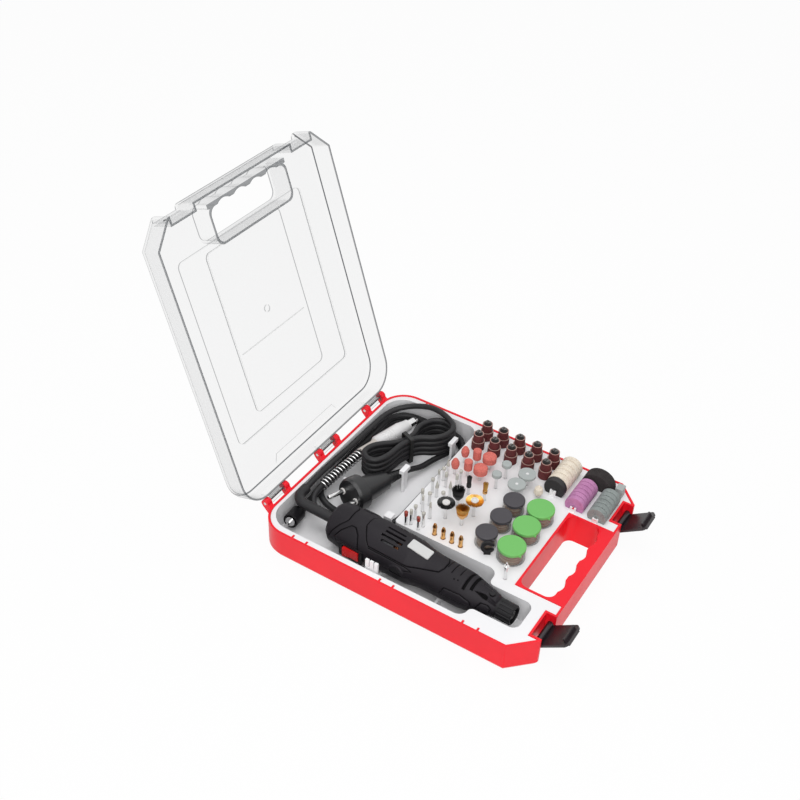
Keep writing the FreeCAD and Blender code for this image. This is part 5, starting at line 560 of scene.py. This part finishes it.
# How deep in a groove, slot or recess a face must be to take painted shade
PAINTED_SHADE_GROOVE_MARK = 0.42
REAR_CAP = ((0.0, 20.0), (22.0, 20.0), (31.0, 18.0), (44.0, 14.0), (57.0, 11.0), (69.0, 8.0),
            (90.0, 5.0))
SIDE_PLATE = ((13.5, 76.0), (18.5, 54.0), (26.5, 33.0), (30.7, 33.0), (35.8, 47.0), (38.3, 65.0),
              (40.0, 86.0), (16.0, 90.0))
MAIN_PANEL = ((39.0, 14.0), (46.0, 45.0), (50.0, 57.0), (92.0, 57.0), (107.0, 43.0), (120.0, 30.0),
              (123.0, 12.0))
SIDE_LINE = ((50.0, 62.0), (90.0, 62.0), (97.0, 68.0), (90.0, 74.0))
LOW_PLATE = ((163.0, 89.0), (166.5, 58.0), (172.0, 56.0), (175.0, 68.0), (174.0, 90.0))
MID_PLATE = ((128.0, 88.0), (131.0, 66.0), (147.0, 62.0), (156.0, 72.0), (158.0, 88.0))
VALLEY = ((161.0, 22.0), (178.0, 40.0))
WEDGE = ((157.0, 27.0), (166.5, 17.0), (169.5, 21.0), (169.5, 38.0), (166.0, 37.0))
GRIP_LINES = (((125.0, -42.0), (125.0, 2.0)), ((131.0, -32.0), (131.0, 13.0)),
              ((139.0, -28.0), (139.0, 8.0)))
GRIP_DOTS = ((136.0, 27.0), (139.5, 25.0))
NOSE_SLOTS = ((147.5, -48.0, 42.0), (154.0, -46.0, 32.0))
NOSE_SLOT_HALF = 1.2
VENTS = ((56.5, 76.0, -11.0), (57.0, 79.0, 3.0), (56.0, 79.0, 16.0), (58.5, 78.0, 29.0))
VENT_HALF = 1.25
BRUSH_X = 82.5
BRUSH_HOLE = 6.5
BRUSH_RIM = 8.4
LOCK_X = 171.5
LOCK_HOLE = 2.9
RIDGE_START = 158.0
RIDGE_TOP = 12.5
SWITCH_X = 33.0
SWITCH_HALF = 12.1
SWITCH_TOP = 3.1


def unrolled(points, side=1.0):
    return [(x, angle * DEGREE * side) for x, angle in points]


def groove_share(distance):
    """1 in the middle of a fine groove and 0 away from it."""
    return np.exp(-(distance / GROOVE_HALF) ** 2)


def raised(px, py, points, height, rise=0.9):
    """A raised panel, and the share of the fine groove round it."""
    edge = segment_distance(px, py, points, True)
    signed = np.where(inside(px, py, points), edge, -edge)
    return height * smooth((signed + 0.2) / rise), groove_share(signed + 0.45)


def housing_grooves(px, angle):
    """The raised panels' height, and how much of a groove each place is in."""
    py = angle * DEGREE
    cap_edge = np.interp(np.abs(angle), [a for a, _ in REAR_CAP], [x for _, x in REAR_CAP])
    height = 0.5 * smooth((cap_edge - px) / 1.0)
    groove = groove_share(px - cap_edge - 0.4)
    panels = [(unrolled(MAIN_PANEL) + unrolled(MAIN_PANEL[::-1], -1.0), 0.55, 0.9)]
    for side in (-1.0, 1.0):
        panels += [(unrolled(SIDE_PLATE, side), 0.7, 0.9), (unrolled(LOW_PLATE, side), 0.5, 0.9),
                   (unrolled(MID_PLATE, side), 0.4, 1.2)]
        line = segment_distance(px, py, unrolled(SIDE_LINE, side), False)
        groove = np.maximum(groove, groove_share(line))
    for points, tall, rise in panels:
        lift, share = raised(px, py, points, tall, rise)
        height += lift
        groove = np.maximum(groove, share)
    for line in GRIP_LINES:
        groove = np.maximum(groove, groove_share(segment_distance(px, py, unrolled(line), False)))
    for x, turn in GRIP_DOTS:
        groove = np.maximum(groove, groove_share(np.hypot(px - x, py - turn * DEGREE) - 0.3))
    edge = segment_distance(px, py, unrolled(WEDGE), True)
    signed = np.where(inside(px, py, unrolled(WEDGE)), edge, -edge)
    groove = np.maximum(groove, 1.4 * smooth(signed / 0.9 + 0.4))
    for x, low, high in NOSE_SLOTS:
        past_ends = np.maximum(low * DEGREE - py, py - high * DEGREE)
        outside = np.maximum(np.abs(px - x) - NOSE_SLOT_HALF, past_ends)
        groove = np.maximum(groove, 2.4 * smooth(-outside / 0.6 + 0.5))
    return height, groove


def housing_relief(px, angle):
    """How far the housing's face stands out from its plain profile, in millimetres."""
    py = angle * DEGREE
    height, groove = housing_grooves(px, angle)
    relief = height - GROOVE_DEPTH * groove
    for side in (-1.0, 1.0):
        valley = segment_distance(px, py, unrolled(VALLEY, side), False)
        relief -= 1.1 * np.exp(-(valley / 1.5) ** 2)
    radius = np.interp(px, HOUSING_X, HOUSING_R)
    half = np.interp(px, (RIDGE_START, 166.0, 178.0), (14.0, 20.0, 33.0))
    ridge = smooth((half - np.abs(angle)) / 9.0)
    ridge *= smooth((px - RIDGE_START) / 6.0) * smooth((179.5 - px) / 3.0)
    relief += ridge * np.maximum(RIDGE_TOP - radius, 0.0)
    relief *= smooth((92.0 - np.abs(angle)) / 7.0)
    relief -= 0.25 * smooth((np.abs(angle) - 88.2) / 1.2)
    level = radius * np.cos(np.radians(angle))
    boss = np.hypot(px - BRUSH_X, level)
    relief += np.where(np.abs(angle) > 45.0, 0.9 * smooth((BRUSH_RIM - boss) / 1.0), 0.0)
    relief *= smooth((HOUSING_END - px) / 0.8)
    return relief


def housing_openings(px, angle):
    """Which places of the housing's face are cut away."""
    radius = np.interp(px, HOUSING_X, HOUSING_R)
    out, level = radius * np.sin(np.radians(angle)), radius * np.cos(np.radians(angle))
    cut = (np.hypot(px - LOCK_X, out) < LOCK_HOLE) & (level > 0.0)
    cut |= (np.hypot(px - BRUSH_X, level) < BRUSH_HOLE) & (np.abs(angle) > 45.0)
    cut |= (np.abs(px - SWITCH_X) < SWITCH_HALF) & (level < SWITCH_TOP) & (angle > 0.0)
    for start, end, turn in VENTS:
        across = np.abs(angle - turn) * DEGREE
        cut |= (px > start) & (px < end) & (across < VENT_HALF)
    return cut


def housing_layers(stations, angles):
    """The housing's outer and inner faces as grids of points, and the angle at each point."""
    radii = np.interp(stations, HOUSING_X, HOUSING_R)
    radii[0], radii[1], radii[-1] = BOOT_HOLE, REAR_FACE, NOSE_HOLE
    px, turn = np.meshgrid(stations, angles, indexing="ij")
    relief = housing_relief(px, turn)
    relief[:2] = 0.0
    relief[-2:] = 0.0
    outer = radii[:, None] + relief
    inner_x = np.clip(stations, HOUSING_WALL, HOUSING_END - 0.02)
    inner = np.interp(inner_x, HOUSING_X, HOUSING_R) - HOUSING_WALL
    inner[:2] = np.minimum(inner[:2], (BOOT_HOLE, REAR_FACE))
    inner[-1] = NOSE_HOLE
    inner = np.broadcast_to(inner[:, None], outer.shape)
    inner_px = np.broadcast_to(inner_x[:, None], px.shape)
    sine, cosine = np.sin(np.radians(turn)), np.cos(np.radians(turn))
    outside = np.stack([px, -outer * sine, outer * cosine], -1)
    within = np.stack([inner_px, -inner * sine, inner * cosine], -1)
    return outside, within, turn


def round_openings(layers, turn, kept):
    """Moves the points at the edges of the lock's and brushes' holes onto true circles."""
    edge_of_hole = np.zeros(turn.shape, bool)
    for i, k in np.argwhere(~kept):
        edge_of_hole[i:i + 2, k:k + 2] = True
    for i, k in np.argwhere(edge_of_hole):
        for layer in layers:
            x, y, z = layer[i, k]
            if abs(x - LOCK_X) < 5.0 and z > 5.0:
                scale = LOCK_HOLE / max(np.hypot(x - LOCK_X, y), 0.1)
                layer[i, k] = (LOCK_X + (x - LOCK_X) * scale, y * scale, z)
            elif abs(x - BRUSH_X) < 9.0 and abs(turn[i, k]) > 60.0 and z > 0.01:
                scale = BRUSH_HOLE / max(np.hypot(x - BRUSH_X, z), 0.1)
                layer[i, k] = (BRUSH_X + (x - BRUSH_X) * scale, y, z * scale)


def housing_faces(kept, dark):
    """The faces of both layers and of the walls between them, and each face's material: painted shade on
    marked groove faces and on the whole inner face.
    """
    rows, columns = kept.shape
    stride = columns + 1
    shift = (rows + 1) * stride
    faces, finish = [], []
    for i, k in np.argwhere(kept).tolist():
        a = i * stride + k
        b, c, d = a + 1, a + 1 + stride, a + stride
        # Outer faces take painted shade where marked; the inner face takes painted shade all over
        faces += [(a, b, c, d), (a + shift, d + shift, c + shift, b + shift)]
        finish += [int(dark[i, k]), 1]
        for di, dk, p, q in ((-1, 0, b, a), (1, 0, d, c), (0, -1, a, d), (0, 1, c, b)):
            ni, nk = i + di, k + dk
            if not (0 <= ni < rows and 0 <= nk < columns) or not kept[ni, nk]:
                faces.append((p, q, q + shift, p + shift))
                finish.append(0)
    return faces, finish


def housing_upper():
    """The upper housing: an outer face with its relief, an inner face, and its openings' walls, with
    painted shade in its grooves, slots and recesses and over its inner face.
    """
    along = np.arange(0.5, HOUSING_END, STATION_STEP)
    stations = np.concatenate(([0.0, 0.0, 0.0], along, [HOUSING_END, HOUSING_END]))
    angles = np.linspace(-90.0, 90.0, ANGLE_COUNT)
    outside, within, turn = housing_layers(stations, angles)
    middle_x, middle_turn = np.meshgrid(0.5 * (stations[:-1] + stations[1:]),
                                        0.5 * (angles[:-1] + angles[1:]), indexing="ij")
    kept = ~housing_openings(middle_x, middle_turn)
    kept[:2] = True
    kept[-1] = True
    # Faces deep in a groove, slot or recess take painted shade
    dark = housing_grooves(middle_x, middle_turn)[1] > PAINTED_SHADE_GROOVE_MARK
    dark &= np.abs(middle_turn) < 89.0
    round_openings((outside, within), turn, kept)
    faces, finish = housing_faces(kept, dark)
    verts = np.concatenate([outside.reshape(-1, 3), within.reshape(-1, 3)]) / 1000.0
    matrix = np.array(TOOL)
    verts = verts @ matrix[:3, :3].T + matrix[:3, 3]
    # Plain black, and the painted shade for grooves and the inner face
    skins = [M["tool_black"], EXTRA["painted_groove_shade"]]
    piece = add_piece("housing_upper_form", verts, faces, skins, "tool", 32.0, finish)
    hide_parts("housing_upper")


def ring_faces(rings, count):
    """The faces between rings of points that follow one another."""
    faces = []
    for start in range(0, (rings - 1) * count, count):
        for i in range(count):
            k = (i + 1) % count
            faces.append((start + i, start + k, start + count + k, start + count + i))
    return faces


def label_plate():
    """A pale plate on the housing's top."""
    length, half, corner, thick = 23.0, 5.4, 1.2, 1.6
    outline = []
    for cx, cy, start in ((length - corner, half - corner, 0.0), (corner, half - corner, 90.0),
                          (corner, corner - half, 180.0), (length - corner, corner - half, 270.0)):
        for step in range(7):
            turn = math.radians(start + 15.0 * step)
            outline.append((cx + corner * math.cos(turn), cy + corner * math.sin(turn)))
    rings = ((0.0, 0.0), (thick - 0.3, 0.0), (thick, 0.3))
    verts = []
    for level, shrink in rings:
        for x, y in outline:
            verts.append((x + shrink * (0.5 - x / length) * 2.0, y * (1.0 - shrink / half), level))
    count = len(outline)
    faces = [tuple(range(count))[::-1], tuple(range(2 * count, 3 * count))]
    faces += ring_faces(len(rings), count)
    tilt = Matrix.Translation(mm(83.2, 0.0, 21.3)) @ Matrix.Rotation(math.radians(7.5), 4, "Y")
    placed = [TOOL @ tilt @ (Vector(v) / 1000.0) for v in verts]
    piece = add_piece("label_plate", placed, faces, EXTRA["plate_pale"], "tool", 30.0)


def turned(profile, sides):
    """A surface of revolution about Z from (radius, height) points, as vertices and faces."""
    verts = []
    for radius, height in profile:
        for i in range(sides):
            turn = 2.0 * math.pi * i / sides
            verts.append((radius * math.cos(turn), radius * math.sin(turn), height))
    return verts, ring_faces(len(profile), sides)


class Bundle:
    """Collects turned parts and wires into one mesh with two materials."""

    def __init__(self):
        self.verts, self.faces, self.slots = [], [], []

    def add(self, verts, faces, slot):
        start = len(self.verts)
        self.verts += [Vector(v) for v in verts]
        self.faces += [tuple(i + start for i in face) for face in faces]
        self.slots += [slot] * len(faces)

    def wire(self, points, thick, slot):
        """A thin three-sided wire through points."""
        verts = []
        for index, point in enumerate(points):
            ahead = points[min(index + 1, len(points) - 1)] - points[max(index - 1, 0)]
            side = ahead.orthogonal().normalized()
            other = ahead.cross(side).normalized()
            for i in range(3):
                turn = 2.0 * math.pi * i / 3
                verts.append(point + (side * math.cos(turn) + other * math.sin(turn)) * thick)
        last = len(verts) - 3
        caps = [(2, 1, 0), (last, last + 1, last + 2)]
        self.add(verts, ring_faces(len(points), 3) + caps, slot)


# Brushes, told apart by their heads: a wheel is thin and a pencil brush is slim
THIN_HEAD = 0.004
SLIM_HEAD = 0.004


def head_places():
    """The lowest and highest corner of each separate brush head in the CAD node."""
    mesh = nodes["brush_heads"].data
    parts = bmesh.new()
    parts.from_mesh(mesh)
    bmesh.ops.remove_doubles(parts, verts=parts.verts, dist=0.00002)
    seen, heads = set(), []
    for start in parts.verts:
        if start in seen:
            continue
        stack, island = [start], []
        seen.add(start)
        while stack:
            vert = stack.pop()
            island.append(vert.co.copy())
            for edge in vert.link_edges:
                other = edge.other_vert(vert)
                if other not in seen:
                    seen.add(other)
                    stack.append(other)
        low = Vector([min(v[i] for v in island) for i in range(3)])
        high = Vector([max(v[i] for v in island) for i in range(3)])
        heads.append((low, high))
    parts.free()
    return heads


def pencil_brush(bundle, chance, reach, height):
    ferrule = ((0.0010, 0.0), (reach * 0.92, 0.0), (reach * 0.92, 0.0036), (reach * 0.80, 0.0040),
               (0.0008, 0.0040))
    bundle.add(*turned(ferrule, 24), 0)
    for _ in range(230):
        turn = chance.uniform(0.0, 2.0 * math.pi)
        spread = math.sqrt(chance.random())
        foot = Vector((math.cos(turn), math.sin(turn), 0.0)) * spread * reach * 0.74
        tip = Vector((math.cos(turn), math.sin(turn), 0.0)) * spread * reach * 0.97
        tip.z = height - chance.uniform(0.0, 0.0008)
        middle = foot.lerp(tip, 0.55) + Vector((0, 0, 0.0014))
        bundle.wire([foot + Vector((0, 0, 0.0036)), middle, tip], 0.00014, 1)


def cup_brush(bundle, chance, reach, height):
    cup = ((0.0009, 0.0), (0.0026, 0.0), (0.0030, 0.0012), (0.0052, 0.0040), (0.0056, 0.0070),
           (0.0050, 0.0070), (0.0046, 0.0044), (0.0009, 0.0030))
    bundle.add(*turned(cup, 36), 0)
    for _ in range(620):
        turn = chance.uniform(0.0, 2.0 * math.pi)
        depth = chance.uniform(0.60, 0.92)
        foot = Vector((math.cos(turn), math.sin(turn), 0.0)) * 0.0052 * depth
        lean = turn + chance.uniform(-0.10, 0.10)
        spread = depth + chance.uniform(0.0, 0.07)
        tip = Vector((math.cos(lean), math.sin(lean), 0.0)) * reach * spread
        tip.z = height - chance.uniform(0.0, 0.0010)
        middle = foot.lerp(tip, 0.5)
        middle.z = 0.0052 + (height - 0.0052) * 0.5
        bundle.wire([foot + Vector((0, 0, 0.0048)), middle, tip], 0.00013, 1)


def wheel_brush(bundle, chance, reach, height):
    hub = ((0.0009, -0.0004), (0.0034, -0.0004), (0.0037, 0.0), (0.0037, height),
           (0.0034, height + 0.0003), (0.0022, height + 0.0003), (0.0020, height - 0.0002),
           (0.0009, height - 0.0002))
    bundle.add(*turned(hub, 36), 0)
    for _ in range(900):
        turn = chance.uniform(0.0, 2.0 * math.pi)
        level = chance.uniform(0.1, 0.9) * height
        lean = turn + chance.uniform(-0.07, 0.07)
        end = reach * chance.uniform(0.93, 1.0)
        foot = Vector((math.cos(turn) * 0.0034, math.sin(turn) * 0.0034, height * 0.5))
        tip = Vector((math.cos(lean) * end, math.sin(lean) * end, level))
        bundle.wire([foot, foot.lerp(tip, 0.5), tip], 0.00013, 1)


def brushes():
    """Six brushes with their wires or bristles: black ones behind, brass ones in front."""
    for index, (low, high) in enumerate(head_places()):
        size = high - low
        reach, height = size.x / 2.0, size.z
        black = (low.y + high.y) / 2.0 > ROW_BREAK
        chance = random.Random(index)
        bundle = Bundle()
        ferrule = EXTRA["bristle_black"] if black else M["brass"]
        if height < THIN_HEAD:
            kind, make, hub = "wheel", wheel_brush, EXTRA["pale_hub_and_pin_highlight"]
        elif reach > SLIM_HEAD:
            kind, make, hub = "cup", cup_brush, ferrule
        else:
            kind, make, hub = "pencil", pencil_brush, ferrule
        make(bundle, chance, reach, height)
        middle = Vector(((low.x + high.x) / 2.0, (low.y + high.y) / 2.0, low.z))
        hair = EXTRA["bristle_black"] if black else M["bristle"]
        verts = [v + middle for v in bundle.verts]
        piece = add_piece(f"{kind}_brush_{index}", verts, bundle.faces, [hub, hair], "case", 40.0,
                          bundle.slots)
        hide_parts("brush_heads")


PLUG_FACE = 0.0698
PIN_HALF_GAP = 0.0095


def pin_highlight_rings():
    """Pale rings round the feet of the plug's pins, a painted highlight where light catches round the pins.
    """
    highlight_rings = []
    turn = PLUG_AXIS.to_track_quat("Z", "Y").to_matrix().to_4x4()
    side = Vector((-PLUG_AXIS.y, PLUG_AXIS.x, 0.0)).normalized()
    for index, way in enumerate((-1.0, 1.0)):
        foot = RELIEF_END + PLUG_AXIS * PLUG_FACE + side * PIN_HALF_GAP * way
        ring = ((0.00248, 0.0), (0.0034, 0.0), (0.0034, 0.0010), (0.0031, 0.0013), (0.00248, 0.0013),
                (0.00248, 0.0))
        verts, faces = turned(ring, 28)
        placed = [Matrix.Translation(foot) @ turn @ Vector(v) for v in verts]
        piece = add_piece(f"pin_highlight_ring_{index}", placed, faces, EXTRA["pale_hub_and_pin_highlight"], "tool", 40.0)
        highlight_rings.append(piece)
    return highlight_rings


housing_upper()
label_plate()
brushes()
highlight_rings = pin_highlight_rings()
for name, finish in (("handpiece_neck", "neck_cream"), ("handpiece_sleeve", "sleeve_pale"),
                     ("plug_body", "plug_black"), ("collet_nut", "nut_dark")):
    nodes[name].data.materials[0] = EXTRA[finish]

# World, lights and floor
BACKDROP_SHARE = 1.0
FLOOR_SHARE = 0.95


def seen(tree, share):
    """The share of the plain backdrop seen by the camera, in reflections and through clear pieces."""
    rays = tree.nodes.new("ShaderNodeLightPath").outputs
    total = combine(tree, "MAXIMUM", rays["Is Camera Ray"], rays["Is Glossy Ray"])
    total = combine(tree, "MAXIMUM", total, rays["Is Transmission Ray"])
    return combine(tree, "MULTIPLY", total, share)


def backdrop(tree, lit, plain, share, output):
    """The plain backdrop where it is seen, and what lights or takes the light elsewhere."""
    mix = tree.nodes.new("ShaderNodeMixShader")
    tree.links.new(seen(tree, share), mix.inputs["Fac"])
    tree.links.new(lit, mix.inputs[1])
    tree.links.new(plain, mix.inputs[2])
    tree.links.new(mix.outputs["Shader"], tree.nodes[output].inputs["Surface"])


def make_world():
    world = bpy.data.worlds.new("studio")
    bpy.context.scene.world = world
    world.use_nodes = True
    tree = world.node_tree
    background = tree.nodes["Background"]
    background.inputs["Color"].default_value = (0.88, 0.885, 0.90, 1)
    background.inputs["Strength"].default_value = 0.45
    white = tree.nodes.new("ShaderNodeBackground")
    white.inputs["Color"].default_value = (1, 1, 1, 1)
    backdrop(tree, background.outputs["Background"], white.outputs["Background"], BACKDROP_SHARE,
             "World Output")


def make_floor():
    data = bpy.data.meshes.new("floor")
    data.from_pydata([(-6, -6, 0), (6, -6, 0), (6, 6, 0), (-6, 6, 0)], [], [(0, 1, 2, 3)])
    material, tree, shader = new_material("floor_white")
    shader.inputs["Base Color"].default_value = (0.86, 0.86, 0.86, 1)
    shader.inputs["Roughness"].default_value = 0.9
    glow = tree.nodes.new("ShaderNodeEmission")
    glow.inputs["Strength"].default_value = 1.0
    backdrop(tree, shader.outputs["BSDF"], glow.outputs["Emission"], FLOOR_SHARE, "Material Output")
    data.materials.append(material)
    floor = bpy.data.objects.new("floor", data)
    bpy.context.scene.collection.objects.link(floor)
    floor.location.z = -0.0002


def softbox(name, location, target, size, power):
    data = bpy.data.lights.new(name, "AREA")
    data.shape = "RECTANGLE"
    data.size, data.size_y = size
    data.energy = power
    lamp = bpy.data.objects.new(name, data)
    bpy.context.scene.collection.objects.link(lamp)
    lamp.location = location
    lamp.rotation_euler = (Vector(location) - Vector(target)).to_track_quat("Z", "Y").to_euler()


make_world()
softbox("overhead", (0.1, 0.1, 1.5), (0, 0, 0), (1.2, 1.2), 8.0)
softbox("window", (-0.95, -0.45, 0.98), (0.0, 0.05, 0.03), (1.1, 1.1), 10.5)
make_floor()
bpy.context.scene.view_settings.view_transform = "Standard"
